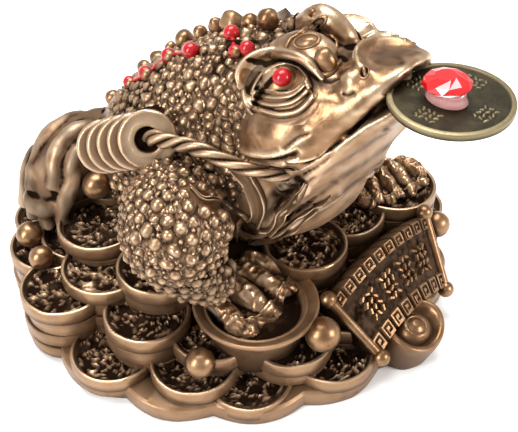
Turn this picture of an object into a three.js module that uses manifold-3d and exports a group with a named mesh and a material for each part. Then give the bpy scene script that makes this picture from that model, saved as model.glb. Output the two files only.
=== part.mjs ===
// A money toad figure: a toad with a coin in its mouth on a heap of coins.
// Millimetres, +Z up, the toad looks along -Y, its right side is -X.
// The heap and the toad are one casting that rests on its flat underside.
import * as THREE from "three";
import { mergeVertices } from "three/addons/utils/BufferGeometryUtils.js";
import Module from "manifold-3d";

// Gap between two pieces that touch.
const CLEARANCE = 0.3;

// Coins of the heap, laid in rings. A place is: direction, distance in from the edge, height of its top.
const COIN = { r: 8.4, h: 3.3, rim: 1, dip: 1.2, bevel: 0.3, sides: 10, innerSides: 8 };
const BASE = { r: 44.9, lobe: 2.3, h: 3.9, lobes: 16, start: 164, draft: 0.4 };
const OUTER = [
  [168, 5.3, 13.6], [189.5, 5.2, 6.2], [214, 7.3, 7.5], [230, 6.1, 4.6],
  [254.5, 5.5, 6.6], [299, 6.3, 8.2], [320, 6.1, 11.4], [341, 6.3, 8],
  [2, 6.1, 11.6], [23, 6.3, 8.2], [44, 6.1, 14.2], [65, 6.3, 8],
  [86, 6.1, 11.6], [107, 6.3, 8.2], [128, 5.9, 9.4], [147, 6.7, 12.6],
];
const MIDDLE = [
  [172.5, 13.3, 16.4], [196, 11.5, 13.4], [219, 12.5, 11], [243.4, 9.3, 10.8], [268, 10.9, 10],
  [292, 11.9, 12], [316, 12.5, 15], [340, 12.9, 13], [4, 12.5, 16], [28, 12.9, 14.4],
  [52, 12.5, 17], [76, 12.9, 14], [100, 12.5, 15.4], [124, 12.9, 15.2], [148, 13.3, 14.6],
];
const INNER = [
  [156, 16.5, 19.8], [193, 18.9, 18.8], [228, 20.9, 15], [266, 21.7, 19.6], [300, 19.9, 18.4],
  [336, 18.9, 19], [14, 19.9, 20.4], [52, 19.9, 19], [90, 18.9, 19.6], [124, 19.9, 20.2],
];
// Hill of coins hidden under the rings: distance in from the edge, and height.
const CORE = [[8.9, 0.5], [10.9, 7], [18.9, 13.6], [32.9, 19]];

// Rimmed dish under the right forefoot, and the coin under the left one.
const DISH = { at: [-18.4, -25.2], r: 12, top: 17.4, rim: 1.6, dip: 2.4, depth: 4.6, foot: 9.6 };
const LEFT_COIN = { at: [25.2, -24.4], r: 8.8, top: 19.4 };

// The head's own frame has its origin between the eyes, and its nose up by the pitch.
const EYE_MID = [0, -23.1, 61.9];
const HEAD_PITCH = 40;
// Stations of the head: forward, half width, top, bottom.
const SKULL = [
  [-18, 10, -6, -11],
  [-13, 14.6, -1.5, -12],
  [-7, 16.8, 1.2, -13.6],
  [-1, 16.6, 2, -15.4],
  [3, 15, 0.8, -14.7],
  [7, 12.6, -1.4, -13],
  [11, 10, -3.4, -11.4],
  [15, 7.4, -5, -9.8],
  [18, 4.8, -6, -8.6],
  [19.8, 2.2, -6.8, -7.9],
];
const JAW = [
  [-14, 12.9, -12, -24],
  [-8, 14.8, -13, -23.6],
  [-2, 15.1, -14.3, -21],
  [3, 13.5, -14.4, -18.4],
  [7, 10.9, -13.2, -16.6],
  [11, 8, -12.2, -15.4],
  [14, 5.6, -12, -14.4],
  [15.6, 3.2, -12, -13.4],
];
// Stations of the throat and chest: height, half width, front, back.
const THROAT = [
  [10, 8, -13, -6],
  [16, 11, -17.4, -6],
  [23, 14, -24.6, -6],
  [31, 15.6, -30.4, -6],
  [39, 14.8, -32.2, -6],
  [46, 12.6, -33, -6],
  [51, 10, -33.6, -8],
];
// Stations of the back and flanks: distance along Y, half width, top, bottom.
const TORSO = [
  [31, 9, 27, 16],
  [27, 14.5, 33.5, 13],
  [21, 18.5, 40.5, 12],
  [14, 20.6, 46.8, 12],
  [7, 21.4, 52, 12],
  [0, 21, 57, 12],
  [-7, 19.8, 61, 12],
  [-13, 17.8, 62.2, 12],
  [-19, 15, 61, 14],
  [-25, 10.5, 55, 20],
];

// Eye, and the folds round it: half width, height, start and end angle, thickness, lift off the eye.
const EYE = { at: [-8.9, -23, 60.2], r: 3.9, look: [-0.66, -0.44, 0.61], along: [0.62, -0.78, 0.06] };
const LIDS = [
  [8, 5, -6, 190, 1.5, 0.6],
  [5.6, 2.7, 4, 176, 0.65, 1.9],
  [7.2, 5.6, 204, 336, 0.75, 0.3],
];
// Curled ridges on the forehead, right and left: path, then its radii.
const CREST = [
  {
    path: [[-5, -15.8, 60.8], [-5, -19, 63.2], [-4.9, -23.4, 65.4], [-4.7, -27.4, 65.4], [-4.5, -29.8, 63.2]],
    radii: [1.2, 2.3, 2.9, 2.8, 1.9],
  },
  {
    path: [[3.4, -13.6, 60.4], [2.4, -17.8, 65.2], [2, -21.6, 68], [2.4, -25.6, 66.4], [3, -28, 62]],
    radii: [1.3, 1.9, 2.1, 2, 1.8],
  },
];
const NOSE = { at: [0, -37.2, 67.3], half: [6, 5.7, 2.3], tilt: 6, rim: 0.9, dip: 1.4 };
const NOSTRIL = { x: 6.2, forward: 11.4, rise: -5.6, r: 2.2, hole: 0.9, holeAt: [0.6, 2.2, 1.4] };

// Forelegs: paths and radii, right then left. The left one stands further back.
const ARM = {
  path: [[-19.6, -9, 39.6], [-25.4, -11.8, 36], [-27.4, -15.2, 31.8], [-26.6, -18, 26.6], [-22.8, -20.8, 21.2]],
  radii: [6, 9.2, 9.6, 6.2, 3.6],
};
const LEFT_ARM = {
  path: [[16, -5, 37], [19.6, -5.6, 33.4], [21.6, -8, 29.6], [23.4, -13.6, 26], [24.8, -19.6, 22.6]],
  radii: [6, 8, 8.2, 6.2, 4],
};
// Broad webbed forefeet: middle of the palm, side of the body, size. A toe is its path from there.
const PALM = { at: [-17.6, -20.4, 16.4], side: -1, size: 1 };
const LEFT_PALM = { at: [25.2, -22.6, 19.8], side: 1, size: 0.74 };
const FOOT = {
  half: [8.4, 6.4, 3.2],
  radii: [1.8, 2.4, 2, 2.3, 0.5],
  toes: [
    [[7.2, -0.6, 1.6], [7.6, -3.8, 1.4], [7.4, -6.9, 0], [5.8, -10.4, -1.4]],
    [[2.5, 0.5, 2.2], [1.3, -3.6, 2], [0.6, -6.9, 0.6], [-0.4, -10.6, -1.2]],
    [[-1, 0.7, 2.2], [-3.1, -2.9, 2], [-5, -5.6, 0.6], [-7.2, -8.8, -1]],
    [[-5.2, 1.8, 2], [-7.6, 0.4, 1.6], [-9.4, -2.5, 0.4], [-10.8, -6.4, -1]],
  ],
};

// The one hind leg, on the right: path and radii, then its toes.
const HAUNCH = {
  path: [[-8, 23, 27], [-15, 23.4, 28], [-21, 23.4, 27], [-25.6, 23.8, 23], [-28.6, 24.2, 18.6]],
  radii: [5.6, 6.6, 6.8, 6, 4.4],
};
const HIND_TOES = { count: 4, r: 1.5, spread: 12 };

// String of holed coins on each flank, and the rope that runs from it to the throat.
const ROLL = {
  at: [-22.4, -2.6, 45.6],
  look: [-0.6, -0.6, 0.53],
  slide: [-0.8, 2.5, -1.3],
  r: 6,
  h: 2,
  hole: 2.3,
  depth: 1.4,
  bevel: 0.3,
  count: 4,
  bed: [[-13, -1, 43.4], [-22.6, 2.4, 43]],
  bedR: 4.8,
};
const ROPE = {
  path: [[-20.8, -3.2, 46.2], [-21.6, -8.2, 47.4], [-20.8, -16, 48.8], [-18.4, -22.6, 47.6], [-14.8, -28.6, 47]],
  r: 1.35,
};

// Folds of skin on each side of the throat: direction and height of each end, bow and thickness.
const NECK = [
  { from: [196, 42], to: [212, 27], bow: -6, r: 1.1 },
  { from: [217, 44], to: [220, 27], bow: 4, r: 1.1 },
];
const SPINE = { count: 7, from: [0, -12.6, 63.4], to: [0, 17, 45.2], rise: 2, r: 2.1, taper: 0.25 };
// Pearls lying on the heap: place and radius.
const PEARLS = [
  [-37, 16.4, 14.4, 2.5],
  [-32.6, -24.4, 11, 2.9],
  [-14.4, -38.4, 14.6, 3.3],
  [27, -34.8, 12.9, 2.7],
  [-22.6, 14.6, 25.6, 2.9],
  [-34.6, 23.4, 14.8, 2.7],
  [33.4, 21, 15.2, 2.8],
  [10, 35.6, 12.8, 2.8],
  [-4, 30.6, 30, 1.7],
];
// Boat-shaped ingot leaning on the front of the heap.
const INGOT = {
  at: [3.9, -44.7],
  turn: 6,
  lean: 14,
  half: [6.8, 5.3],
  foot: [5, 4],
  rim: 8.4,
  wall: 1,
  horn: 1.4,
  dip: 1.6,
  dome: 2.7,
};
// Plaque held by two rods on the front of the heap: ends of each rod, right rod first.
const RODS = [[[-8.4, -34.6, 16.6], [-6.2, -46.4, 7.6]], [[22.4, -34.2, 18.6], [18.6, -44, 6]]];
const PLAQUE = { rod: 0.95, knob: 1.7, back: 5, arch: 2.2, bulge: 1.8, marks: 4, raise: 0.5 };

// Loose coin held in the mouth, and the faceted stone on a pad of glue on it.
const MOUTH_COIN = { at: [0, -49.4, 64.6], r: 10, h: 1.3, rim: 0.9, raise: 0.25, hole: 2.1, sides: 24 };
const GEM = { off: [-0.8, 0.4], half: [3.3, 4.3], pad: 0.9, h: 3, pitch: -8, roll: -9, sides: 10 };

const wasm = await Module();
wasm.setup();

const rad = THREE.MathUtils.degToRad;
const mix = THREE.MathUtils.lerp;
const mirrored = (side, p) => [p[0] * side, p[1], p[2]];

function solidOf(geometry) {
  const bare = geometry.clone();
  bare.deleteAttribute("normal");
  bare.deleteAttribute("uv");
  const merged = mergeVertices(bare, 1e-4);
  const vertProperties = Float32Array.from(merged.attributes.position.array);
  const triVerts = Uint32Array.from(merged.index.array);
  return new wasm.Manifold(new wasm.Mesh({ numProp: 3, vertProperties, triVerts }));
}

function meshOf(solid, name, color, roughness, metalness) {
  const { vertProperties, triVerts } = solid.getMesh();
  const geometry = new THREE.BufferGeometry();
  geometry.setAttribute("position", new THREE.BufferAttribute(Float32Array.from(vertProperties), 3));
  geometry.setIndex(new THREE.BufferAttribute(Uint32Array.from(triVerts), 1));
  geometry.computeVertexNormals();
  const mesh = new THREE.Mesh(geometry, new THREE.MeshStandardMaterial({ color, roughness, metalness }));
  mesh.name = name;
  return mesh;
}

function turnedInsideOut(geometry) {
  const index = geometry.index.array;
  for (let i = 0; i < index.length; i += 3) {
    [index[i], index[i + 1]] = [index[i + 1], index[i]];
  }
  return geometry;
}

function outward(geometry) {
  const solid = solidOf(geometry);
  return solid.volume() > 0 ? solid : solidOf(turnedInsideOut(geometry));
}

// Closed surface through rings of points, each end drawn to the middle of its ring.
function loft(rings) {
  const sides = rings[0].length;
  const ends = [rings[0], rings[rings.length - 1]].map((ring) => {
    return ring.reduce((sum, p) => sum.add(p), new THREE.Vector3()).divideScalar(sides);
  });
  const first = rings.length * sides;
  const last = (rings.length - 1) * sides;
  const tris = [];
  for (let s = 0; s < sides; s++) {
    const t = (s + 1) % sides;
    tris.push(first, t, s);
    tris.push(first + 1, last + s, last + t);
    for (let low = 0; low < last; low += sides) {
      const high = low + sides;
      tris.push(low + s, low + t, high + t);
      tris.push(low + s, high + t, high + s);
    }
  }
  const geometry = new THREE.BufferGeometry().setFromPoints([...rings.flat(), ...ends]);
  geometry.setIndex(tris);
  return outward(geometry);
}

// Turned solid about the Z axis from pairs of radius and height.
function turned(profile, sides, turn = 0) {
  const shape = profile.map(([r, z]) => new THREE.Vector2(r, z));
  return outward(new THREE.LatheGeometry(shape, sides, turn).rotateX(Math.PI / 2));
}

function ball(at, r, across = 7, down = 4) {
  return solidOf(new THREE.SphereGeometry(r, across, down).translate(...at));
}

// Ring of points round an oval: half widths and height.
function oval(sides, a, b, z, turn = 0) {
  return Array.from({ length: sides }, (_, s) => {
    const t = ((s + turn) / sides) * 2 * Math.PI;
    return new THREE.Vector3(a * Math.cos(t), b * Math.sin(t), z);
  });
}

// Round bar along a smooth path, its radius run through the given values.
function bar(path, radii, sides = 4, steps = 5) {
  const curve = new THREE.CatmullRomCurve3(path.map((p) => new THREE.Vector3(...p)));
  const frames = curve.computeFrenetFrames(steps, false);
  const rings = [];
  for (let k = 0; k <= steps; k++) {
    const place = (k / steps) * (radii.length - 1);
    const i = Math.min(Math.floor(place), radii.length - 2);
    const r = mix(radii[i], radii[i + 1], place - i);
    const turnInto = new THREE.Matrix4().makeBasis(frames.normals[k], frames.binormals[k], frames.tangents[k]);
    turnInto.setPosition(curve.getPoint(k / steps));
    rings.push(oval(sides, r, r, 0).map((p) => p.applyMatrix4(turnInto)));
  }
  return loft(rings);
}

// Section of a body: half width, low and high, the share of height where it is widest, lower corner.
function section(sides, w, low, high, waist, corner) {
  const mid = mix(low, high, waist);
  return Array.from({ length: sides }, (_, s) => {
    const turn = (s / sides) * 2 * Math.PI;
    const [c, n] = [Math.cos(turn), Math.sin(turn)];
    const x = w * Math.sign(c) * Math.abs(c) ** (n > 0 ? 0.9 : corner);
    const rise = n > 0 ? n * (high - mid) : -(Math.abs(n) ** corner) * (mid - low);
    return [x, mid + rise];
  });
}

function headPoint(x, forward, rise) {
  const c = Math.cos(rad(HEAD_PITCH));
  const s = Math.sin(rad(HEAD_PITCH));
  const y = EYE_MID[1] - forward * c + rise * s;
  const z = EYE_MID[2] + forward * s + rise * c;
  return new THREE.Vector3(EYE_MID[0] + x, y, z);
}

// Coin with a raised rim, standing on whatever is a height below its top.
function coin(x, y, top, r, height, turn = 0, sides = COIN.sides) {
  const low = top - height;
  const inner = r - COIN.rim;
  const floor = top - COIN.dip;
  const profile = [[0, low], [r, low], [r, top], [inner, top], [inner - COIN.bevel, floor], [0, floor]];
  return turned(profile, sides, turn).translate([x, y, 0]);
}

// Sheet under the heap, its edge lobed as if by coins.
function baseSheet() {
  const sides = BASE.lobes * 4;
  const ring = (z, r) => Array.from({ length: sides }, (_, s) => {
    const turn = (s / sides) * 2 * Math.PI;
    const reach = r + BASE.lobe * Math.abs(Math.cos((turn * BASE.lobes) / 2));
    const way = turn + rad(BASE.start);
    return new THREE.Vector3(reach * Math.cos(way), reach * Math.sin(way), z);
  });
  return loft([ring(0, BASE.r - BASE.draft), ring(BASE.h, BASE.r)]);
}

function ringPlace(angle, inset) {
  return [(BASE.r - inset) * Math.cos(rad(angle)), (BASE.r - inset) * Math.sin(rad(angle))];
}

// Stack of the outer ring: its top coin, and a block of coins below it, a little out of line.
function outerStack([angle, inset, top], k) {
  const [x, y] = ringPlace(angle, inset);
  const low = top - COIN.h;
  const stands = low > BASE.h / 2 + COIN.h / 2;
  const solids = [coin(x, y, top, COIN.r, stands ? COIN.h : top - BASE.h / 4, rad(k * 40))];
  if (stands) {
    const slip = [0.7 * Math.cos(rad(137 * k)), 0.7 * Math.sin(rad(137 * k))];
    const block = [[0, BASE.h / 4], [COIN.r, BASE.h / 4], [COIN.r, low], [0, low]];
    solids.push(turned(block, COIN.sides, rad(k * 40)).translate([x + slip[0], y + slip[1], 0]));
  }
  return solids;
}

function innerStack([angle, inset, top], k) {
  const [x, y] = ringPlace(angle, inset);
  return coin(x, y, top, COIN.r, top - BASE.h / 2, rad(k * 40), COIN.innerSides);
}

function heap() {
  const slope = CORE.map(([inset, z]) => [BASE.r - inset, z]);
  const hill = turned([[0, CORE[0][1]], ...slope, [0, CORE[CORE.length - 1][1]]], 16);
  const left = coin(...LEFT_COIN.at, LEFT_COIN.top, LEFT_COIN.r, LEFT_COIN.top - BASE.h / 2);
  const inner = [...MIDDLE, ...INNER].map(innerStack);
  return [baseSheet(), hill, left, ...OUTER.flatMap(outerStack), ...inner];
}

function dish() {
  const { at, r, top, rim, dip, depth, foot } = DISH;
  const low = top - depth;
  const outside = [[0, low - 6], [foot - 1, low - 6], [foot, low], [r, top - 0.6], [r - 0.4, top]];
  const inside = [[r - rim, top - 0.3], [r - rim - 1, top - dip], [0, top - dip]];
  return turned([...outside, ...inside], 16).translate([...at, 0]);
}

function head() {
  const skull = SKULL.map(([forward, w, high, low]) => {
    return section(14, w, low, high, 0.3, 0.45).map(([x, rise]) => headPoint(x, forward, rise));
  });
  const jaw = JAW.map(([forward, w, high, low]) => {
    return section(12, w, low, high, 0.8, 0.75).map(([x, rise]) => headPoint(x, forward, rise));
  });
  return [loft(skull), loft(jaw)];
}

// Width, front and back of the throat at a height.
function throatAt(z) {
  let k = 0;
  while (k < THROAT.length - 2 && THROAT[k + 1][0] < z) k++;
  const t = (z - THROAT[k][0]) / (THROAT[k + 1][0] - THROAT[k][0]);
  return [1, 2, 3].map((i) => mix(THROAT[k][i], THROAT[k + 1][i], t));
}

// Point on the throat, turned from the toad's left, raised out of it.
function throatPoint(angle, z, out = 0) {
  const [w, front, back] = throatAt(z);
  const x = (w + out) * Math.cos(rad(angle));
  const y = (front + back) / 2 + ((back - front) / 2 + out) * Math.sin(rad(angle));
  return [x, y, z];
}

function trunk() {
  const throat = THROAT.map(([z]) => {
    return Array.from({ length: 16 }, (_, s) => new THREE.Vector3(...throatPoint((s / 16) * 360, z)));
  });
  const back = TORSO.map(([y, w, high, low]) => {
    return section(14, w, low, high, 0.42, 0.85).map(([x, z]) => new THREE.Vector3(x, y, z));
  });
  return [loft(throat), loft(back)];
}

function neckFolds(side) {
  return NECK.map(({ from, to, bow, r }) => {
    const path = [0, 0.5, 1].map((t) => {
      const angle = mix(from[0], to[0], t) + bow * 4 * t * (1 - t);
      return mirrored(side, throatPoint(angle, mix(from[1], to[1], t), r * 0.3));
    });
    return bar(path, [r * 0.5, r, r, r * 0.7], 4, 2);
  });
}

// Eyeball with its brow and lids, bowed bars in a plane across the way that the eye looks.
function eye(side) {
  const out = new THREE.Vector3(...EYE.look).normalize();
  const along = new THREE.Vector3(...EYE.along);
  along.addScaledVector(out, -along.dot(out)).normalize();
  const up = new THREE.Vector3().crossVectors(out, along);
  if (up.z < 0) up.negate();
  const folds = LIDS.map(([wide, tall, from, to, thick, lift]) => {
    const path = [];
    for (let k = 0; k <= 6; k++) {
      const turn = rad(mix(from, to, k / 6));
      const p = new THREE.Vector3(...EYE.at).addScaledVector(out, lift);
      p.addScaledVector(along, wide * Math.cos(turn)).addScaledVector(up, tall * Math.sin(turn));
      path.push(mirrored(side, p.toArray()));
    }
    return bar(path, [thick * 0.5, thick, thick, thick * 0.5], thick > 1 ? 6 : 4);
  });
  return [ball(mirrored(side, EYE.at), EYE.r, 8, 5), ...folds];
}

// Spoon-shaped plate on the tip of the nose, and what is scooped out of it.
function nose() {
  const { at, half, tilt, rim, dip } = NOSE;
  const shape = (size, up) => {
    const geometry = new THREE.SphereGeometry(1, 11, 6).rotateX(Math.PI / 2).scale(...size);
    return solidOf(geometry.translate(0, 0, up).rotateX(rad(tilt)).translate(...at));
  };
  const scoop = [half[0] - rim, half[1] - rim, half[2]];
  return { plate: shape(half, 0), scoop: shape(scoop, dip + half[2] * 0.55) };
}

function nostril(side) {
  const { x, forward, rise, r, hole, holeAt } = NOSTRIL;
  const bulb = ball(headPoint(side * x, forward, rise).toArray(), r);
  const tip = headPoint(side * (x + holeAt[0]), forward + holeAt[1], rise + holeAt[2]);
  return { bulb, hole: ball(tip.toArray(), hole, 6, 4) };
}

function forefoot({ at, side, size }) {
  const half = FOOT.half.map((v) => v * size);
  const palm = solidOf(new THREE.SphereGeometry(1, 10, 5).scale(...half).translate(...at));
  const radii = FOOT.radii.map((r) => r * size);
  const toes = FOOT.toes.map((path) => {
    return bar(path.map((p) => mirrored(side, p).map((v, i) => at[i] + v * size)), radii, 4, 4);
  });
  return [palm, ...toes];
}

function hindLeg() {
  const { count, r, spread } = HIND_TOES;
  const [endX, endY, endZ] = HAUNCH.path[HAUNCH.path.length - 1];
  const solids = [bar(HAUNCH.path, HAUNCH.radii, 11)];
  for (let k = 0; k < count; k++) {
    const place = k / (count - 1) - 0.5;
    const x = endX - 1.2 + Math.abs(place) * 4;
    const y = endY + place * spread;
    const root = [x + 6.4, mix(endY, y, 0.4), endZ + 12];
    const path = [root, [x, y, endZ + 5.6], [x - 1.8, y, endZ], [x - 1.2, y + place * 2, endZ - 3]];
    solids.push(bar(path, [1, r, r * 0.8, r * 1.2], 4, 3));
  }
  return solids;
}

// Discs of the string of coins, the front one with its hole, what beds them on the flank, and the rope.
function roll(side) {
  const look = new THREE.Vector3(...mirrored(side, ROLL.look)).normalize();
  const aim = new THREE.Quaternion().setFromUnitVectors(new THREE.Vector3(0, 0, 1), look);
  const high = ROLL.h / 2;
  const floor = high - ROLL.depth;
  const rope = bar(ROPE.path.map((p) => mirrored(side, p)), [ROPE.r, ROPE.r]);
  const bed = bar(ROLL.bed.map((p) => mirrored(side, p)), [ROLL.bedR, ROLL.bedR], 7, 1);
  const solids = [rope, bed];
  for (let k = 0; k < ROLL.count; k++) {
    const r = ROLL.r * (1 - 0.02 * k);
    const hole = [[ROLL.hole, high - ROLL.bevel], [ROLL.hole, floor], [0, floor]];
    const face = k === 0 ? [[r, high - ROLL.bevel], [r - ROLL.bevel, high], ...hole] : [[r, high], [0, high]];
    const at = new THREE.Vector3(...mirrored(side, ROLL.at.map((v, i) => v + ROLL.slide[i] * k)));
    const place = new THREE.Matrix4().compose(at, aim, new THREE.Vector3(1, 1, 1));
    solids.push(turned([[0, -high], [r, -high], ...face], 10).transform(place.elements));
  }
  return solids;
}

function spine() {
  return Array.from({ length: SPINE.count }, (_, k) => {
    const t = k / (SPINE.count - 1);
    const [x, y, z] = SPINE.from.map((v, i) => mix(v, SPINE.to[i], t));
    return ball([x, y, z + SPINE.rise * Math.sin(Math.PI * t)], SPINE.r * (1 - SPINE.taper * t), 6, 4);
  });
}

function ingot() {
  const { at, turn, lean, half, foot, rim, wall, horn, dip, dome } = INGOT;
  const ring = (shrink, z, bow) => {
    const points = oval(14, half[0] - shrink, half[1] - shrink, z);
    for (const p of points) p.z += bow * (p.x / (half[0] - shrink)) ** 2;
    return points;
  };
  const bottom = oval(14, foot[0], foot[1], -2);
  const lip = [ring(0, rim - 0.8, horn), ring(0, rim, horn), ring(wall, rim, horn)];
  const cup = loft([bottom, ...lip, ring(wall + 0.6, rim - dip, 0)]);
  const whole = cup.add(ball([0, 0, rim - dip + 0.2], dome, 8, 5));
  return whole.rotate([lean, 0, turn]).translate([...at, 0]);
}

// Point of the plaque: across from the right rod to the left one, then down it, then out of it.
function plaquePoint(across, down, out) {
  const [high, low] = [0, 1].map((k) => {
    return new THREE.Vector3(...RODS[0][k]).lerp(new THREE.Vector3(...RODS[1][k]), across);
  });
  const fall = low.clone().sub(high).normalize();
  const along = new THREE.Vector3(...RODS[1][0]).sub(new THREE.Vector3(...RODS[0][0])).normalize();
  const face = new THREE.Vector3().crossVectors(fall, along).normalize();
  if (face.z < 0) face.negate();
  const bow = 4 * across * (1 - across);
  const p = high.lerp(low, down).addScaledVector(fall, -PLAQUE.arch * bow);
  return p.addScaledVector(face, PLAQUE.bulge * bow + out);
}

// Slab of the plaque between two shares across it and two down it, its front raised.
function slab(from, to, top, bottom, raise, thick, steps) {
  const rings = [];
  for (let k = 0; k <= steps; k++) {
    const across = mix(from, to, k / steps);
    const corners = [[top, raise], [bottom, raise], [bottom, raise - thick], [top, raise - thick]];
    rings.push(corners.map(([down, out]) => plaquePoint(across, down, out)));
  }
  return loft(rings);
}

function plaque() {
  const solids = [slab(0, 1, 0.04, 0.96, 0, PLAQUE.back, 4)];
  for (let k = 0; k < PLAQUE.marks; k++) {
    const from = 0.1 + (k / PLAQUE.marks) * 0.82;
    solids.push(slab(from, from + 0.62 / PLAQUE.marks, 0.3, 0.7, PLAQUE.raise, 2 * PLAQUE.raise, 1));
  }
  for (const ends of RODS) {
    solids.push(bar(ends, [PLAQUE.rod, PLAQUE.rod], 6, 1));
    for (const end of ends) solids.push(ball(end, PLAQUE.knob, 6, 4));
  }
  return solids;
}

function mouthCoin() {
  const { at, r, h, rim, raise, hole, sides } = MOUTH_COIN;
  const floor = h / 2 - raise;
  const edge = [[hole, -h / 2], [r, -h / 2], [r, h / 2], [r - rim, h / 2]];
  const profile = [...edge, [r - rim - 0.1, floor], [hole, floor], [hole, -h / 2]];
  return turned(profile, sides).translate(at);
}

// Room for the coin in the mouth.
function mouthSlot() {
  const { at, r, h, sides } = MOUTH_COIN;
  const [reach, half] = [(r + CLEARANCE) / Math.cos(Math.PI / sides), h / 2 + CLEARANCE];
  return turned([[0, -half], [reach, -half], [reach, half], [0, half]], sides).translate(at);
}

// Faceted oval stone, tipped on its pad of glue.
function gem() {
  const { off, half, pad, h, pitch, roll: tip, sides } = GEM;
  const ring = (share, z, turn) => oval(sides, half[0] * share, half[1] * share, z, turn);
  const table = [ring(1, h / 2, 0.5), ring(0.84, h * 0.77, 0), ring(0.44, h, 0.5)];
  const stone = loft([ring(0.62, 0, 0), ring(0.94, h * 0.37, 0), ...table]);
  const foot = loft([ring(0.66, 0, 0), ring(0.72, pad + h / 2, 0)]);
  const { at, h: thick, raise } = MOUTH_COIN;
  const low = at[2] + thick / 2 - raise + CLEARANCE;
  const whole = foot.add(stone.rotate([pitch, tip, 0]).translate([0, 0, pad + 0.4]));
  return whole.translate([at[0] + off[0], at[1] + off[1], low]);
}

function casting() {
  const pieces = [...heap(), dish(), ...head(), ...trunk(), ...spine(), ...hindLeg(), ingot(), ...plaque()];
  for (const [x, y, z, r] of PEARLS) pieces.push(ball([x, y, z], r));
  for (const { path, radii } of CREST) pieces.push(bar(path, radii, 7, 6));
  pieces.push(bar(ARM.path, ARM.radii, 11, 6), bar(LEFT_ARM.path, LEFT_ARM.radii, 8));
  pieces.push(...forefoot(PALM), ...forefoot(LEFT_PALM));
  const { plate, scoop } = nose();
  pieces.push(plate);
  const cuts = [mouthSlot(), scoop];
  for (const side of [-1, 1]) {
    const { bulb, hole } = nostril(side);
    pieces.push(bulb, ...eye(side), ...roll(side), ...neckFolds(side));
    cuts.push(hole);
  }
  const joined = pieces.reduce((whole, piece) => whole.add(piece));
  const cut = cuts.reduce((whole, room) => whole.subtract(room), joined).trimByPlane([0, 0, 1], 0);
  // Pinholes left shut in between the coins are filled: the outer skin alone is kept.
  return cut.decompose().reduce((a, b) => (a.volume() > b.volume() ? a : b));
}

const group = new THREE.Group();
group.name = "money_toad";
group.add(meshOf(casting(), "toad_figure", 0x9a6b3c, 0.4, 0.7));
group.add(meshOf(mouthCoin(), "mouth_coin", 0x6b5f3c, 0.35, 0.9));
group.add(meshOf(gem(), "coin_gem", 0xd01818, 0.1, 0));

export default group;
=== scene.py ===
import math

import bpy
import numpy as np
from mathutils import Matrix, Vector
from mathutils.bvhtree import BVHTree


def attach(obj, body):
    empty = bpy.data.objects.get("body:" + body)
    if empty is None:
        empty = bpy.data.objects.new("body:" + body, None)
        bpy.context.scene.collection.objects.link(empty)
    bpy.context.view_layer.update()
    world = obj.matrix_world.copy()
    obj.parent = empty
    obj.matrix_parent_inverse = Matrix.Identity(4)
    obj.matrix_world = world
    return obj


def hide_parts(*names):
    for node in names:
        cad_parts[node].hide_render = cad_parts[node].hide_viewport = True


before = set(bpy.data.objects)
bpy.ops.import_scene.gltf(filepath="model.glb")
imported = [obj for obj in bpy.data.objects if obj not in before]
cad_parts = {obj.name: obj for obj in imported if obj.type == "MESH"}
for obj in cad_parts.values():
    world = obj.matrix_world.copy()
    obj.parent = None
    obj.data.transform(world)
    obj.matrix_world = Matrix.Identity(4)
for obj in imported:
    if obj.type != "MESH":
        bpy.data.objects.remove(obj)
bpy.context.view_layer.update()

# Money toad figure. Lengths are millimetres until a mesh is made, +Z up, the toad looks along -Y.
mm = 0.001
full = 2 * math.pi
rng = np.random.default_rng(29)
scene = bpy.context.scene

# The photograph's camera: direction and height of view, distance of its centre, width in pixels.
shot = {
    "azimuth": -47.0,
    "elevation": 41.0,
    "at": (-113.97, -115.11, 152.37),
    "focal": 1000.0,
    "width": 518,
    "height": 432,
    "reach": (150, 300),
}

print("camera and light")


def shotAxes():
    # right, up and back of the camera from the two angles
    a = math.radians(shot["azimuth"])
    e = math.radians(shot["elevation"])
    back = np.array([math.sin(a) * math.cos(e), -math.cos(a) * math.cos(e), math.sin(e)])
    right = np.array([math.cos(a), math.sin(a), 0.0])
    return right, np.cross(back, right), back


def makeCamera():
    # lens as the focal length over the width in pixels, turned to look along the two angles
    _, _, back = shotAxes()
    data = bpy.data.cameras.new("photoCamera")
    data.sensor_width = 36.0
    data.lens = shot["focal"] / shot["width"] * data.sensor_width
    camera = bpy.data.objects.new("photoCamera", data)
    scene.collection.objects.link(camera)
    camera.location = Vector(shot["at"]) * mm
    camera.rotation_euler = Vector(back).to_track_quat("Z", "Y").to_euler()
    data.clip_start = 0.005
    data.clip_end = 20.0
    scene.camera = camera


# Room of pale air and soft boxes: name, place and size in metres, watts, colour
studio = {
    "air": (1.0, 0.985, 0.97, 1),
    "airStrength": 0.72,
    "aim": (0, 0, 0.03),
    "boxes": [
        ("topBox", (0.05, 0.12, 0.55), (0.42, 0.3), 4.3, (1, 1, 1)),
        ("leftBox", (-0.5, 0.05, 0.3), (0.14, 0.36), 3.0, (1, 1, 1)),
        ("frontBox", (0.2, -0.55, 0.3), (0.26, 0.16), 2.7, (1.0, 0.97, 0.94)),
    ],
}
floorLook = {"half": 3.0, "grain": 40.0, "dark": (0.88, 0.88, 0.88, 1), "light": (0.92, 0.92, 0.92, 1)}


def makeSoftbox(name, at, size, power, colour):
    # rectangle of light whose back is turned away from what it aims at
    data = bpy.data.lights.new(name, "AREA")
    data.shape = "RECTANGLE"
    data.size, data.size_y = size
    data.energy = power
    data.color = colour
    lamp = bpy.data.objects.new(name, data)
    scene.collection.objects.link(lamp)
    lamp.location = at
    lamp.rotation_euler = (Vector(at) - Vector(studio["aim"])).to_track_quat("Z", "Y").to_euler()


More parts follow.
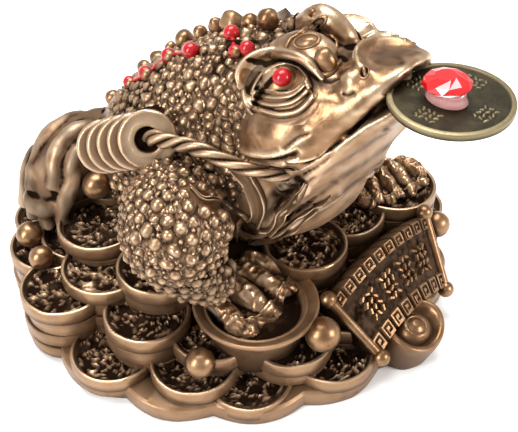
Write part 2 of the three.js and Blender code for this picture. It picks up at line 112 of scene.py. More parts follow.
def makeStudio():
    # even pale air and the soft boxes
    world = bpy.data.worlds.new("paleRoom")
    world.use_nodes = True
    background = world.node_tree.nodes["Background"]
    setSockets(background, {"Color": studio["air"], "Strength": studio["airStrength"]})
    scene.world = world
    scene.view_settings.view_transform = "Standard"
    for box in studio["boxes"]:
        makeSoftbox(*box)


def setSockets(node, values):
    # plain values straight onto the sockets of a node
    for label, value in values.items():
        node.inputs[label].default_value = value


def newMaterial(name):
    # a material with its tree and its shader
    material = bpy.data.materials.new(name)
    material.use_nodes = True
    tree = material.node_tree
    return material, tree, tree.nodes["Principled BSDF"]


def makeFloor():
    # a wide square of slightly uneven pale paper
    half = floorLook["half"]
    corners = [(-half, -half, 0), (half, -half, 0), (half, half, 0), (-half, half, 0)]
    mesh = bpy.data.meshes.new("paleFloor")
    mesh.from_pydata(corners, [], [(0, 1, 2, 3)])
    floor = bpy.data.objects.new("paleFloor", mesh)
    scene.collection.objects.link(floor)
    material, tree, shader = newMaterial("palePaper")
    noise = tree.nodes.new("ShaderNodeTexNoise")
    setSockets(noise, {"Scale": floorLook["grain"]})
    ramp = tree.nodes.new("ShaderNodeValToRGB")
    for stop, colour in zip(ramp.color_ramp.elements, (floorLook["dark"], floorLook["light"])):
        stop.color = colour
    tree.links.new(noise.outputs["Fac"], ramp.inputs["Fac"])
    tree.links.new(ramp.outputs["Color"], shader.inputs["Base Color"])
    setSockets(shader, {"Roughness": 0.9})
    mesh.materials.append(material)


makeCamera()
makeStudio()
makeFloor()


# Paints and finishes
def groupTree(name, ins, outs):
    # a node group with the named sockets, and its two ends
    tree = bpy.data.node_groups.new(name, "ShaderNodeTree")
    for label, kind, value in ins:
        socket = tree.interface.new_socket(name=label, in_out="INPUT", socket_type=kind)
        if value is not None:
            socket.default_value = value
    for label, kind in outs:
        tree.interface.new_socket(name=label, in_out="OUTPUT", socket_type=kind)
    return tree, tree.nodes.new("NodeGroupInput"), tree.nodes.new("NodeGroupOutput")


def feed(tree, slots, values):
    # numbers and colours stay on the socket, anything else is linked to it
    for slot, value in zip(slots, values):
        if isinstance(value, tuple):
            slot.default_value = (*value, 1)
        elif isinstance(value, (int, float)):
            slot.default_value = value
        elif value is not None:
            tree.links.new(value, slot)


def mathNode(tree, kind, a, b, c=None, clamp=False):
    # one sum, product or other step on up to three values
    node = tree.nodes.new("ShaderNodeMath")
    node.operation = kind
    node.use_clamp = clamp
    feed(tree, node.inputs, (a, b, c))
    return node.outputs[0]


def mixColour(tree, share, first, second):
    # first colour where the share is 0, second where it is 1
    node = tree.nodes.new("ShaderNodeMix")
    node.data_type = "RGBA"
    feed(tree, [node.inputs[label] for label in ("Factor", "A", "B")], (share, first, second))
    return node.outputs["Result"]


def speckleGroup():
    # cloud: broad unevenness of a brushed coat; grit: fine grain of the cast surface
    tree, into, out = groupTree(
        "castGrain",
        [("Cloud size", "NodeSocketFloat", 260.0), ("Grit size", "NodeSocketFloat", 2600.0)],
        [("Cloud", "NodeSocketFloat"), ("Grit", "NodeSocketFloat")],
    )
    where = tree.nodes.new("ShaderNodeTexCoord").outputs["Object"]
    for label, size, detail in (("Cloud", "Cloud size", 4.0), ("Grit", "Grit size", 2.0)):
        noise = tree.nodes.new("ShaderNodeTexNoise")
        noise.inputs["Detail"].default_value = detail
        tree.links.new(where, noise.inputs["Vector"])
        tree.links.new(into.outputs[size], noise.inputs["Scale"])
        tree.links.new(noise.outputs["Fac"], out.inputs[label])
    return tree


def readMask(tree, name):
    # one of the masks that lie on the points of a mesh
    node = tree.nodes.new("ShaderNodeAttribute")
    node.attribute_name = name
    return node.outputs["Fac"]


def placeGroup(tree, group, values):
    # the grain group at the given sizes
    node = tree.nodes.new("ShaderNodeGroup")
    node.node_tree = group
    setSockets(node, values)
    return node.outputs["Cloud"], node.outputs["Grit"]


def setBump(tree, shader, height, strength, distance):
    # height turned into a slight tilt of the shading
    bump = tree.nodes.new("ShaderNodeBump")
    setSockets(bump, {"Strength": strength, "Distance": distance})
    tree.links.new(height, bump.inputs["Height"])
    tree.links.new(bump.outputs["Normal"], shader.inputs["Normal"])


# the near-black colour is a dark wash together with painted shade; the bright one is wear together with
# painted highlights
bronzeLook = {
    "metal": (0.37, 0.225, 0.12),
    "bright": (0.74, 0.56, 0.38),
    "brown": (0.17, 0.086, 0.04),
    "shadeAndWash": (0.010, 0.005, 0.003),
    "dusty": (0.42, 0.265, 0.155),
    # reach of the painted occlusion shade
    "creviceReach": 0.0016,
}


def makeBronze(grain):
    # metallic paint: a dark wash with painted shade in the hollows, wear with painted highlights on the
    # raised tops, beige where it was sprayed thin
    material, tree, shader = newMaterial("antiqueBronzePaint")
    cloud, grit = placeGroup(tree, grain, {})
    hollow, wornAndHighlight, dusty = (readMask(tree, name) for name in ("hollow", "wornAndHighlight", "dusty"))
    patch = mathNode(tree, "MULTIPLY_ADD", cloud, 2.2, -0.75, clamp=True)
    coat = mixColour(tree, patch, bronzeLook["brown"], bronzeLook["metal"])
    coat = mixColour(tree, wornAndHighlight, coat, bronzeLook["bright"])
    coat = mixColour(tree, mathNode(tree, "MULTIPLY", dusty, 0.75), coat, bronzeLook["dusty"])
    # painted shade: ambient occlusion darkens the colour in crevices and between parts
    crevice = tree.nodes.new("ShaderNodeAmbientOcclusion")
    crevice.samples = 6
    setSockets(crevice, {"Distance": bronzeLook["creviceReach"]})
    shut = mathNode(tree, "MULTIPLY_ADD", crevice.outputs["AO"], -1.9, 1.25, clamp=True)
    uneven = mathNode(tree, "MULTIPLY_ADD", cloud, 0.6, -0.3)
    deep = mathNode(tree, "ADD", mathNode(tree, "MAXIMUM", hollow, shut), uneven, clamp=True)
    # painted shade: the hollow mask and the occlusion take the colour to near black and cut its metal and
    # specular
    tree.links.new(mixColour(tree, deep, coat, bronzeLook["shadeAndWash"]), shader.inputs["Base Color"])
    shine = mathNode(tree, "MULTIPLY_ADD", dusty, -0.35, mathNode(tree, "SUBTRACT", 0.92, deep), clamp=True)
    tree.links.new(shine, shader.inputs["Metallic"])
    rough = mathNode(tree, "MULTIPLY_ADD", grit, 0.16, 0.24)
    for share, more in ((dusty, 0.14), (deep, 0.34)):
        rough = mathNode(tree, "MULTIPLY_ADD", share, more, rough)
    tree.links.new(rough, shader.inputs["Roughness"])
    gloss = mathNode(tree, "MULTIPLY_ADD", deep, -0.5, 0.5, clamp=True)
    tree.links.new(gloss, shader.inputs["Specular IOR Level"])
    setBump(tree, shader, grit, 0.25, 0.00012)
    return material


# Olive brass, its cloudy coat from tarnish to warm
brassLook = {
    "tarnish": (0.026, 0.021, 0.012),
    "warm": (0.066, 0.053, 0.027),
    "bright": (0.29, 0.235, 0.13),
    "shadeAndWash": (0.02, 0.016, 0.01),
}


def makeOldBrass(grain):
    # tarnish in patches, wear with painted highlights where raised, dark tarnish with painted shade in the
    # hollows
    material, tree, shader = newMaterial("agedOliveBrass")
    cloud, grit = placeGroup(tree, grain, {"Cloud size": 300.0, "Grit size": 2200.0})
    patch = mathNode(tree, "MULTIPLY_ADD", cloud, 2.4, -0.8, clamp=True)
    coat = mixColour(tree, patch, brassLook["tarnish"], brassLook["warm"])
    for mask, colour in (("wornAndHighlight", "bright"), ("hollow", "shadeAndWash")):
        coat = mixColour(tree, readMask(tree, mask), coat, brassLook[colour])
    tree.links.new(coat, shader.inputs["Base Color"])
    tree.links.new(mathNode(tree, "MULTIPLY_ADD", grit, 0.3, 0.3), shader.inputs["Roughness"])
    setSockets(shader, {"Metallic": 0.85})
    setBump(tree, shader, grit, 0.3, 0.0001)
    return material


# Cloudy colours: size of the clouds, the two colours, plain values of the shader
cloudyLooks = {
    "glossyRedPaint": (420.0, (0.24, 0.001, 0.004), (0.40, 0.006, 0.010), {
        "Roughness": 0.2, "Specular IOR Level": 0.3, "Coat Weight": 0.3, "Coat Roughness": 0.05}),
    # the red stone's faint emission is a painted glow: the stone is no lamp
    "redFacetedStone": (330.0, (0.40, 0.0, 0.003), (0.70, 0.008, 0.010), {
        "Roughness": 0.07, "Metallic": 0.35, "Coat Weight": 1.0, "Coat Roughness": 0.03,
        "Emission Color": (0.9, 0.01, 0.01, 1), "Emission Strength": 0.05}),
    "clearGlue": (500.0, (0.52, 0.20, 0.19), (0.80, 0.48, 0.45), {
        "Roughness": 0.12, "Coat Weight": 0.8, "Transmission Weight": 0.35}),
}


def makeCloudy(grain, name):
    # two close colours mixed by the broad grain
    size, first, second, values = cloudyLooks[name]
    material, tree, shader = newMaterial(name)
    cloud, _ = placeGroup(tree, grain, {"Cloud size": size})
    tree.links.new(mixColour(tree, cloud, first, second), shader.inputs["Base Color"])
    setSockets(shader, values)
    if name == "glossyRedPaint":
        setBump(tree, shader, cloud, 0.2, 0.0002)
    return material


castGrain = speckleGroup()
bronze = makeBronze(castGrain)
oldBrass = makeOldBrass(castGrain)
redPaint, redStone, clearGlue = (makeCloudy(castGrain, name) for name in cloudyLooks)


# Shapes as arrays. A shell is a pair: points (n, 3) and triangles (m, 3), closed and pointing out.
def unit(v):
    # each row divided by its own length
    return v / np.maximum(np.linalg.norm(v, axis=-1, keepdims=True), 1e-9)


def smoothRows(rows, count):
    # Catmull-Rom curve through the rows, at evenly spaced parameters, all at once
    p = np.asarray(rows, float)
    if p.ndim == 1:
        return smoothRows(p[:, None], count)[:, 0]
    p = np.vstack([2 * p[0] - p[1], p, 2 * p[-1] - p[-2]])
    t = np.linspace(0, len(p) - 3, count)
    i = np.minimum(t.astype(int), len(p) - 4)
    f = (t - i)[:, None]
    a, b, c, d = (p[i + k] for k in range(4))
    return 0.5 * (2 * b + (c - a) * f + (2 * a - 5 * b + 4 * c - d) * f**2 + (3 * b - a - 3 * c + d) * f**3)


def outward(points, tris):
    # a negative sum of the tetrahedra from the origin means that the shell is inside out
    a, b, c = (points[tris[:, k]] for k in range(3))
    volume = np.einsum("ij,ij->i", a, np.cross(b, c)).sum()
    return points, (tris if volume > 0 else tris[:, ::-1])


def gridTris(rows, sides, wrapRows=False):
    # two triangles for each cell of a grid that closes round its sides
    r, s = np.meshgrid(np.arange(rows if wrapRows else rows - 1), np.arange(sides), indexing="ij")
    r, s = r.ravel(), s.ravel()
    up, on = (r + 1) % rows, (s + 1) % sides
    a, b, c, d = r * sides + s, r * sides + on, up * sides + on, up * sides + s
    return np.vstack([np.stack([a, b, c], 1), np.stack([a, c, d], 1)])


def shellOf(grid):
    # grid of rows and sides, each end row drawn to its middle
    rows, sides = grid.shape[:2]
    points = np.vstack([grid.reshape(-1, 3), grid[0].mean(0), grid[-1].mean(0)])
    s = np.arange(sides)
    on = (s + 1) % sides
    first, last = rows * sides, (rows - 1) * sides
    ends = [
        np.stack([np.full(sides, first), on, s], 1),
        np.stack([np.full(sides, first + 1), last + s, last + on], 1),
    ]
    return outward(points, np.vstack([gridTris(rows, sides), *ends]))


def ringShell(grid):
    # grid that closes on itself both ways
    return outward(grid.reshape(-1, 3), gridTris(*grid.shape[:2], wrapRows=True))


def joined(shells):
    # shells one after another, the triangles of each counted on from the points before
    counts = np.cumsum([0] + [len(points) for points, tris in shells])
    points = np.vstack([points for points, tris in shells])
    return points, np.vstack([tris + start for (_, tris), start in zip(shells, counts)])


def circle(sides):
    # cosine and sine once round
    turn = np.arange(sides) / sides * full
    return np.cos(turn), np.sin(turn)


def pathFrame(path):
    # along the path, then two directions across it, measured from the axis that the path follows least
    along = unit(np.gradient(path, axis=0))
    axes = np.eye(3)
    helper = axes[np.argmin(np.abs(along @ axes).max(0))]
    side = unit(np.cross(along, helper))
    return along, side, np.cross(side, along)


def tube(path, radii, rows, sides):
    # circle carried along a smooth path, its radius run through the values
    line = smoothRows(path, rows)
    r = smoothRows(radii, rows)[:, None, None]
    _, side, up = pathFrame(line)
    c, n = circle(sides)
    return shellOf(line[:, None] + r * (c[:, None] * side[:, None] + n[:, None] * up[:, None]))


def turnedGrid(profile, sides):
    # pairs of radius and height carried round the Z axis
    c, n = circle(sides)
    r, z = np.asarray(profile, float).T
    return np.stack([r[:, None] * c, r[:, None] * n, np.repeat(z[:, None], sides, 1)], -1)


def turned(profile, sides):
    # a profile of radius and height turned round the upright
    return shellOf(turnedGrid(profile, sides))


def ball(at, r, sides=24, rows=14):
    # sphere as a half circle of radii and heights carried round
    t = np.linspace(0.02, math.pi - 0.02, rows)
    points, tris = turned(np.stack([r * np.sin(t), -r * np.cos(t)], 1), sides)
    return points + at, tris


def mirrored(shell):
    # x turned round, and each triangle too
    points, tris = shell
    return points * (-1, 1, 1), tris[:, ::-1]


def turn(points, axis, degrees):
    # rotation about X, Y or Z
    a = math.radians(degrees)
    c, s = math.cos(a), math.sin(a)
    i, j = [(1, 2), (2, 0), (0, 1)]["xyz".index(axis)]
    out = np.array(points, float)
    out[..., i] = c * points[..., i] - s * points[..., j]
    out[..., j] = s * points[..., i] + c * points[..., j]
    return out


def grain3(points, size, seed):
    # value noise: pseudo-random numbers at the corners of a lattice, blended smoothly inside each cell
    p = np.asarray(points) / size + seed * 17.3
    cell = np.floor(p)
    f = p - cell
    f = f * f * (3 - 2 * f)
    total = 0.0
    for corner in range(8):
        bits = np.array([corner & 1, corner >> 1 & 1, corner >> 2 & 1])
        spot = (cell + bits) @ np.array([12.9898, 78.233, 37.719])
        value = np.modf(np.abs(np.sin(spot) * 43758.5453))[0]
        total = total + value * np.prod(np.where(bits, f, 1 - f), axis=-1)
    return total * 2 - 1


def normalsOf(points, tris):
    # the cross products of the triangles at each point, summed
    a, b, c = (points[tris[:, k]] for k in range(3))
    face = np.cross(b - a, c - a)
    total = np.zeros_like(points)
    for axis in range(3):
        for k in range(3):
            total[:, axis] += np.bincount(tris[:, k], face[:, axis], len(points))
    return unit(total)


def edgesOf(tris):
    # the three sides of each triangle
    return np.vstack([tris[:, [0, 1]], tris[:, [1, 2]], tris[:, [2, 0]]])


def relaxed(points, edges, times, weight=1.0):
    # each point drawn half way to the mean of its neighbours, again and again
    count = np.bincount(edges.ravel(), minlength=len(points))[:, None]
    for _ in range(times):
        total = np.zeros_like(points)
        for axis in range(points.shape[1]):
            total[:, axis] = np.bincount(edges[:, 0], points[edges[:, 1], axis], len(points))
            total[:, axis] += np.bincount(edges[:, 1], points[edges[:, 0], axis], len(points))
        points = points + 0.5 * weight * (total / np.maximum(count, 1) - points)
    return points


def nearest(points, targets):
    # distance from each point to the closest target, and which target that is, a block at a time
    best = np.full(len(points), 1e9)
    which = np.zeros(len(points), int)
    norm = (points**2).sum(1)
    for start in range(0, len(targets), 64):
        block = targets[start : start + 64]
        d = norm[:, None] - 2 * points @ block.T + (block**2).sum(1)
        k = d.argmin(1)
        value = d[np.arange(len(points)), k]
        closer = value < best
        best[closer] = value[closer]
        which[closer] = k[closer] + start
    return np.sqrt(np.maximum(best, 0)), which


def bell(distance, width):
    # e^(-(x / width)^2)
    return np.exp(-((distance / width) ** 2))


def step(low, high, value):
    # 3 t^2 - 2 t^3 of the share of the way from low to high
    t = np.clip((value - low) / (high - low), 0, 1)
    return t * t * (3 - 2 * t)


def meshOf(name, points, tris, scale=mm):
    # a mesh of triangles from whole arrays
    mesh = bpy.data.meshes.new(name)
    mesh.vertices.add(len(points))
    mesh.vertices.foreach_set("co", (np.asarray(points) * scale).astype(np.float32).ravel())
    mesh.loops.add(tris.size)
    mesh.loops.foreach_set("vertex_index", tris.astype(np.int32).ravel())
    mesh.polygons.add(len(tris))
    mesh.polygons.foreach_set("loop_start", np.arange(0, tris.size, 3, dtype=np.int32))
    mesh.update(calc_edges=True)
    return mesh


def makePiece(name, shell, material, node, masks=None, sharp=None):
    # mesh, masks, material and name, parented to the root, with the part of its node hidden
    points, tris = shell
    mesh = meshOf(name, points, tris)
    mesh.shade_smooth()
    if sharp is not None:
        mesh.set_sharp_from_angle(angle=math.radians(sharp))
    for label, values in (masks or {}).items():
        layer = mesh.attributes.new(label, "FLOAT", "POINT")
        layer.data.foreach_set("value", np.clip(values, 0, 1).astype(np.float32))
    mesh.materials.append(material)
    piece = bpy.data.objects.new(name, mesh)
    scene.collection.objects.link(piece)
    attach(piece, "root")
    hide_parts(node)
    print(f"  {name}: {len(tris)} triangles")


def castPiece(name, shell, masks=None, sharp=None, material=None):
    # a visible piece of the one casting, in bronze paint unless told otherwise
    makePiece(name, shell, material or bronze, "toad_figure", masks, sharp)


def castTogether(shells, voxel):
    # one skin over overlapping shells, as small cubes of that size
    points, tris = joined(shells)
    mesh = meshOf("pour", points, tris, 1.0)
    pour = bpy.data.objects.new("pour", mesh)
    scene.collection.objects.link(pour)
    cubes = pour.modifiers.new("cubes", "REMESH")
    cubes.mode = "VOXEL"
    cubes.voxel_size = voxel
    done = pour.evaluated_get(bpy.context.evaluated_depsgraph_get())
    skin = done.to_mesh()
    skin.calc_loop_triangles()
    points = np.empty(len(skin.vertices) * 3, np.float32)
    skin.vertices.foreach_get("co", points)
    tris = np.empty(len(skin.loop_triangles) * 3, np.int32)
    skin.loop_triangles.foreach_get("vertices", tris)
    done.to_mesh_clear()
    bpy.data.objects.remove(pour)
    bpy.data.meshes.remove(mesh)
    return outward(points.reshape(-1, 3).astype(float), tris.reshape(-1, 3))


def hollowsOf(points, tris, edges, times):
    # how far the smoothed surface stands outside the real one: more than 0 in a hollow, less on a ridge
    return ((relaxed(points, edges, times) - points) * normalsOf(points, tris)).sum(1)


# The toad's head and throat
head = {
    "eyeMid": (0, -23.1, 61.9),
    "pitch": 40.0,
    "skull": [
        (-18, 10, -6, -11), (-13, 14.6, -1.5, -12), (-7, 16.8, 1.2, -13.6), (-1, 16.6, 2, -15.4),
        (3, 15, 0.8, -14.7), (7, 12.6, -1.4, -13), (11, 10, -3.4, -11.4), (15, 7.4, -5, -9.8),
        (17.4, 5.4, -6, -8.8), (18.7, 3.4, -6.8, -8.0),
    ],
    "jaw": [
        (-14, 12.9, -12, -24), (-8, 14.8, -13, -23.6), (-2, 15.3, -14.0, -21), (3, 13.9, -13.8, -18.4),
        (7, 11.3, -12.7, -16.6), (11, 8.1, -12.0, -15.4), (14, 5.6, -12, -14.4), (15.6, 3.2, -12, -13.4),
    ],
    "throat": [
        (12, 6.4, -11, -4), (16, 8.2, -14, -4), (20, 10.2, -18.6, -4), (25, 13.3, -25, -5),
        (31, 15.6, -30.4, -6), (39, 14.8, -32.2, -6), (46, 12.6, -33, -6), (51, 10, -33.6, -8),
    ],
    "voxel": 0.31,
    # how often the cast skin is smoothed away from the crest, then all over, and the crest's reach
    "relaxed": (16, 3),
    "crestReach": (3.4, 5),
}
# The relief round the eye is drawn in the photograph's pixels, its heights in millimetres.
eyes = {
    "at": (-8.9, -23, 60.2),
    "r": 3.9,
    "pupil": (281.6, 77),
    "pupilR": 1.66,
    "window": ((226, 40), (334, 132)),
    "spacing": 0.85,
    "coarse": 2,
    "kept": (284, 92, 40, 36),
    "sink": 14.0,
    "thick": 2.6,
    "middle": (280, 80),
    "opening": (29, 17),
    "socket": (38, 25),
    "bag": (281, 90, 34, 27, 1.5),
    "bagRows": (72, 86),
    "brow": [
        (241.5, 85), (243, 74), (249.5, 64), (260, 57.5), (274, 54), (288, 54), (301, 58.5),
        (312.5, 67), (322, 78),
    ],
    "browWide": (4, 6.6, 7, 6.8, 6.4, 6, 5.6, 5.2, 3),
    "browHigh": (2.1, 1.5),
    "lid": [(253, 93), (256.5, 84), (263, 74.5), (273, 67.5), (286, 64.5), (296, 67), (304, 75), (309, 86)],
    "lidWide": 3.3,
    "lidHigh": 0.85,
    "trench": 0.9,
    "lower": [(254, 93), (262, 90), (270, 89.5), (281, 92), (292, 90), (300, 84.5), (307, 78)],
    "folds": [
        ([(255, 94), (263, 96), (275, 97.5), (290, 96), (301, 89), (307, 82)], 1.9, 0.42),
        ([(250, 97.5), (259, 102), (272, 105), (290, 103), (303, 94.5), (310, 85)], 2.3, 0.5),
        ([(245, 101), (255, 108.5), (268, 113), (282, 115), (298, 111.5), (312, 98), (318, 86)], 3.4, 0.75),
    ],
    "creases": [
        ([(238, 103), (246, 112), (259, 118), (277, 122), (292, 120), (305, 113), (316, 101)], 2.4, 0.6),
        ([(252, 91), (260, 86), (268, 84)], 1.6, 0.5),
        ([(325, 80), (333, 79)], 2.0, 0.4),
    ],
}


def inHead(x, forward, rise):
    # the head's own frame leans back by its pitch round the point between the eyes
    c, s = math.cos(math.radians(head["pitch"])), math.sin(math.radians(head["pitch"]))
    y = head["eyeMid"][1] - forward * c + rise * s
    z = head["eyeMid"][2] + forward * s + rise * c
    x, y, z = np.broadcast_arrays(x, y, z)
    return np.stack([x, y, z], -1)


def headCoordinates(points):
    # the inverse: across, forward and rise of each point
    c, s = math.cos(math.radians(head["pitch"])), math.sin(math.radians(head["pitch"]))
    y, z = points[:, 1] - head["eyeMid"][1], points[:, 2] - head["eyeMid"][2]
    return points[:, 0], -y * c + z * s, y * s + z * c


def bodySections(stations, rows, sides, waist, corner):
    # half width, top and bottom run along the stations; each section is two half ovals, the lower one boxy
    s = smoothRows(stations, rows)
    c, n = circle(sides)
    low, high = s[:, 3, None], s[:, 2, None]
    middle = low + (high - low) * waist
    power = np.where(n > 0, 0.9, corner)
    x = s[:, 1, None] * np.sign(c) * np.abs(c) ** power
    rise = np.where(n > 0, n * (high - middle), -(np.abs(n) ** corner) * (middle - low))
    return s[:, 0, None], x, middle + rise


def headShells():
    # skull and jaw lie in the head's own frame, the throat stands upright in ovals
    forward, x, rise = bodySections(head["skull"], 80, 96, 0.3, 0.5)
    skull = shellOf(inHead(x, forward, rise))
    forward, x, rise = bodySections(head["jaw"], 70, 80, 0.8, 0.75)
    jaw = shellOf(inHead(x, forward, rise))
    s = smoothRows(head["throat"], 70)
    c, n = circle(80)
    middle, half = (s[:, 2] + s[:, 3]) / 2, (s[:, 3] - s[:, 2]) / 2
    upright = np.repeat(s[:, :1], 80, 1)
    throat = np.stack([s[:, 1, None] * c, middle[:, None] + half[:, None] * n, upright], -1)
    return [skull, jaw, shellOf(throat)]


def treeOf(shell):
    # a shell that rays and distances can be asked of
    points, tris = shell
    return BVHTree.FromPolygons(points.tolist(), tris.tolist())


def seenAt(tree, pixels):
    # places of a surface that the photograph shows at these pixels, or the closest to a ray that passes by
    right, up, back = shotAxes()
    eye = Vector(shot["at"])
    found = []
    for u, v in pixels:
        way = right * (u - shot["width"] / 2) - up * (v - shot["height"] / 2) - back * shot["focal"]
        way = Vector(way).normalized()
        hit = tree.ray_cast(eye, way)[0]
        if hit is None:
            beside = (tree.find_nearest(eye + way * reach) for reach in range(*shot["reach"]))
            hit = min(beside, key=lambda spot: spot[3])[0]
        found.append(hit)
    return np.array(found)


def pixelsOf(points):
    # where the photograph shows the points
    right, up, back = shotAxes()
    q = points - np.array(shot["at"])
    scale = shot["focal"] / -(q @ back)
    return np.stack([shot["width"] / 2 + q @ right * scale, shot["height"] / 2 - q @ up * scale], 1)


def farFrom(pixels, u, v):
    # distance in pixels from one of them
    return np.hypot(pixels[:, 0] - u, pixels[:, 1] - v)


pathSteps = 160


def besidePath(pixels, path):
    # distance from a smooth path, 1 on its left hand and -1 on its right, and the share of the way along it
    line = smoothRows(path, pathSteps)
    gap, which = nearest(pixels, line)
    way = np.gradient(line, axis=0)[which]
    off = pixels - line[which]
    left = np.sign(way[:, 1] * off[:, 0] - way[:, 0] * off[:, 1])
    return gap, left, which / (pathSteps - 1)


def faded(share):
    # 1 along a path, 0 at both its ends
    return step(0, 0.15, share) * step(1, 0.85, share)


def towardsShot(points):
    # factors that bring each point to the side of the toad that the camera sees
    return np.where(points[:, :1] > 0, (-1.0, 1, 1), 1.0)


def foldHeight(pixels, path, width, height, furrow):
    # a lip on the left of the path, x e^(0.5 - x^2 / 2), and its opposite on the right, or a plain furrow
    gap, left, share = besidePath(pixels, path)
    x = gap / width
    wave = x * np.exp(0.5 - x * x / 2)
    return faded(share) * height * (-bell(x, 1) if furrow else left * wave - 0.4 * bell(x, 0.6))


def laidOn(tree, path, count, lift):
    # a smooth path brought down onto a surface and raised off it again, and the way out at each place
    spots = [tree.find_nearest(Vector(p)) for p in smoothRows(path, count)]
    out = unit(np.array([normal for _, normal, _, _ in spots]))
    return np.array([hit for hit, _, _, _ in spots]) + out * lift, out


print("head")
headParts = headShells()
eyeBall = ball(eyes["at"], eyes["r"])

crest = {
    "near": [
        (-5, -15.8, 60.8), (-5, -19, 63.2), (-4.9, -23.4, 65.4), (-4.7, -27.4, 65.4),
        (-4.5, -29.8, 63.2),
    ],
    "nearR": (1.2, 2.3, 2.9, 2.8, 1.9),
    "far": [(3.4, -13.6, 60.4), (2.4, -17.8, 65.0), (2, -21.6, 67.6), (2.4, -25.6, 66.2), (3, -28.4, 62)],
    "farR": (1.3, 1.9, 2.1, 2, 1.8),
    "sides": 52,
    "nostril": 3,
    # Middle, half sizes in pixels, lean, roundness of the outline, then rows of share, height and how dark;
    # the darkness is painted shade with the dark wash at their feet, in their grooves and inside the nostril
    "medals": [
        ((307, 41.5), (14.5, 7.5), -14, 1.0, [
            (1.14, -0.6, 0.9), (1.04, 0.1, 0.6), (0.99, 0.36, 0.1), (0.92, 0.46, 0), (0.85, 0.36, 0.3),
            (0.79, 0.16, 0.9), (0.71, 0.2, 0.5), (0.55, 0.38, 0.05), (0.3, 0.5, 0), (0.04, 0.54, 0)]),
        ((326, 60), (12, 9.5), 62, 0.75, [
            (1.16, -1.2, 0.9), (1.06, 0.1, 0.8), (0.98, 0.8, 0.2), (0.88, 1.1, 0), (0.62, 1.2, 0.1),
            (0.3, 1.26, 0), (0.04, 1.28, 0)]),
        ((319, 22.5), (10, 5), -36, 1.0, [
            (1.14, -0.3, 0.5), (1.02, 0.34, 0.1), (0.92, 0.46, 0), (0.82, 0.34, 0.2),
            (0.68, 0.12, 0.9), (0.35, 0.08, 0.6), (0.04, 0.08, 0.3)]),
        ((364.5, 72), (4.8, 6.6), 18, 1.0, [
            (1.3, -0.2, 0.4), (1.12, 0.18, 0.1), (1.0, 0.3, 0), (0.88, 0.24, 0.3), (0.76, 0.06, 1),
            (0.4, 0.05, 1), (0.04, 0.05, 1)]),
    ],
    "trim": [
        ([(316, 70), (325, 75), (335, 70), (340, 60)], (0.3, 0.55, 0.5, 0.25)),
        ([(286, 49), (292, 38), (304, 31), (318, 29), (330, 35), (338, 48)],
         (0.3, 0.45, 0.5, 0.5, 0.45, 0.3)),
        ([(363.5, 68), (366, 76)], (0.3, 0.3)),
        ([(311.5, 12), (313, 13)], (0.8, 0.8)),
    ],
}
nose = {
    "at": (0, -36.8, 67.0),
    "half": (5.9, 5.4),
    "r": 6.2,
    "tilt": 6.0,
    "profile": [
        (0.5, -2.3), (3.2, -2.1), (5.3, -1.3), (6.2, -0.4), (6.5, 0.2), (6.3, 0.7), (5.7, 0.75),
        (4.9, 0.4), (4.0, -0.25), (3.0, -0.7), (1.5, -0.9), (0.05, -0.95),
    ],
}
nostrils = {"x": 6.4, "forward": 11.0, "rise": -5.6, "r": 2.3}
lip = {"at": (0, -36.6, 64.9), "half": (5.3, 5.2, 2.6)}
# Swellings of the head: pixel, radius in pixels, height.
# Folds: path, width in pixels, height, whether a furrow.
headShape = {
    "swells": [
        (268, 138, 25, 1.0), (312, 103, 11, 0.35), (352, 112, 18, 0.3), (376, 93, 14, 0.25),
        (300, 150, 9, 0.3), (331, 86, 8, -0.8), (338, 97, 6, -0.3), (345, 55, 7, -0.9),
        (240, 108, 6, -0.5), (236, 118, 6, -0.4), (303, 126, 7, -0.35),
    ],
    "folds": [
        ([(230, 138), (236, 147), (244, 153), (259, 157), (275, 157), (290, 153), (300, 147)],
         3.2, 0.75, False),
        ([(283, 163), (296, 163), (308, 161), (319, 157)], 2.2, 0.4, False),
        ([(284, 152), (290, 144), (299, 137), (313, 133)], 2.6, 0.3, True),
        ([(426, 59), (406, 81), (386, 100), (372, 112), (356, 127), (344, 138)], 1.8, 1.0, True),
        ([(344, 138), (328, 151), (316, 161)], 1.5, 0.5, True),
        ([(262, 170), (280, 174), (297, 174), (310, 168), (322, 160), (335, 148)], 3.0, 0.5, False),
        ([(322, 80), (330, 79), (340, 76)], 2.2, 0.5, True),
        ([(340, 92), (347, 95), (356, 92)], 2.2, 0.3, True),
        ([(309, 182), (297, 192), (285, 203), (273, 221)], 4.2, 0.9, False),
        ([(343, 182), (329, 195), (313, 206), (297, 217), (282, 228)], 3.8, 0.8, False),
        ([(318, 176), (304, 187), (291, 200), (280, 214)], 2.4, 0.5, True),
        ([(372, 150), (352, 172), (334, 190), (314, 207)], 3.0, 0.35, False),
        ([(392, 128), (376, 144), (356, 162), (338, 174)], 3.0, 0.3, False),
    ],
}
# Darker places of the head: middle, half sizes, lean, strength; and streaks: path, width, strength
headShade = {
    "spots": [
        (386, 59, 26, 9, 10, 0.9), (250, 228, 12, 12, 0, 1.2), (262, 250, 34, 11, -8, 1.8),
        (287, 190, 27, 12, -36, 1.2), (282, 220, 11, 5, -38, 1.5), (306, 205, 18, 3, -38, 1.2),
        (268, 208, 8, 16, 10, 1.0), (333, 84, 13, 7, -8, 0.7), (346, 54, 9, 9, 0, 0.85),
        (262, 120, 26, 4, 8, 0.35), (236, 112, 6, 16, 10, 0.6), (296, 121, 14, 4, -18, 0.35),
    ],
    "streaks": [
        ([(396, 140), (372, 158), (350, 172), (330, 186), (312, 203)], 3.2, 0.75),
        ([(386, 160), (364, 176), (345, 190), (325, 207), (305, 226)], 3.6, 0.8),
        ([(378, 172), (362, 188), (345, 204), (330, 222)], 2.8, 0.65),
        ([(380, 136), (360, 150), (338, 164), (318, 176)], 2.0, 0.6),
        ([(372, 200), (352, 212), (330, 228), (308, 236)], 3.0, 0.5),
    ],
}


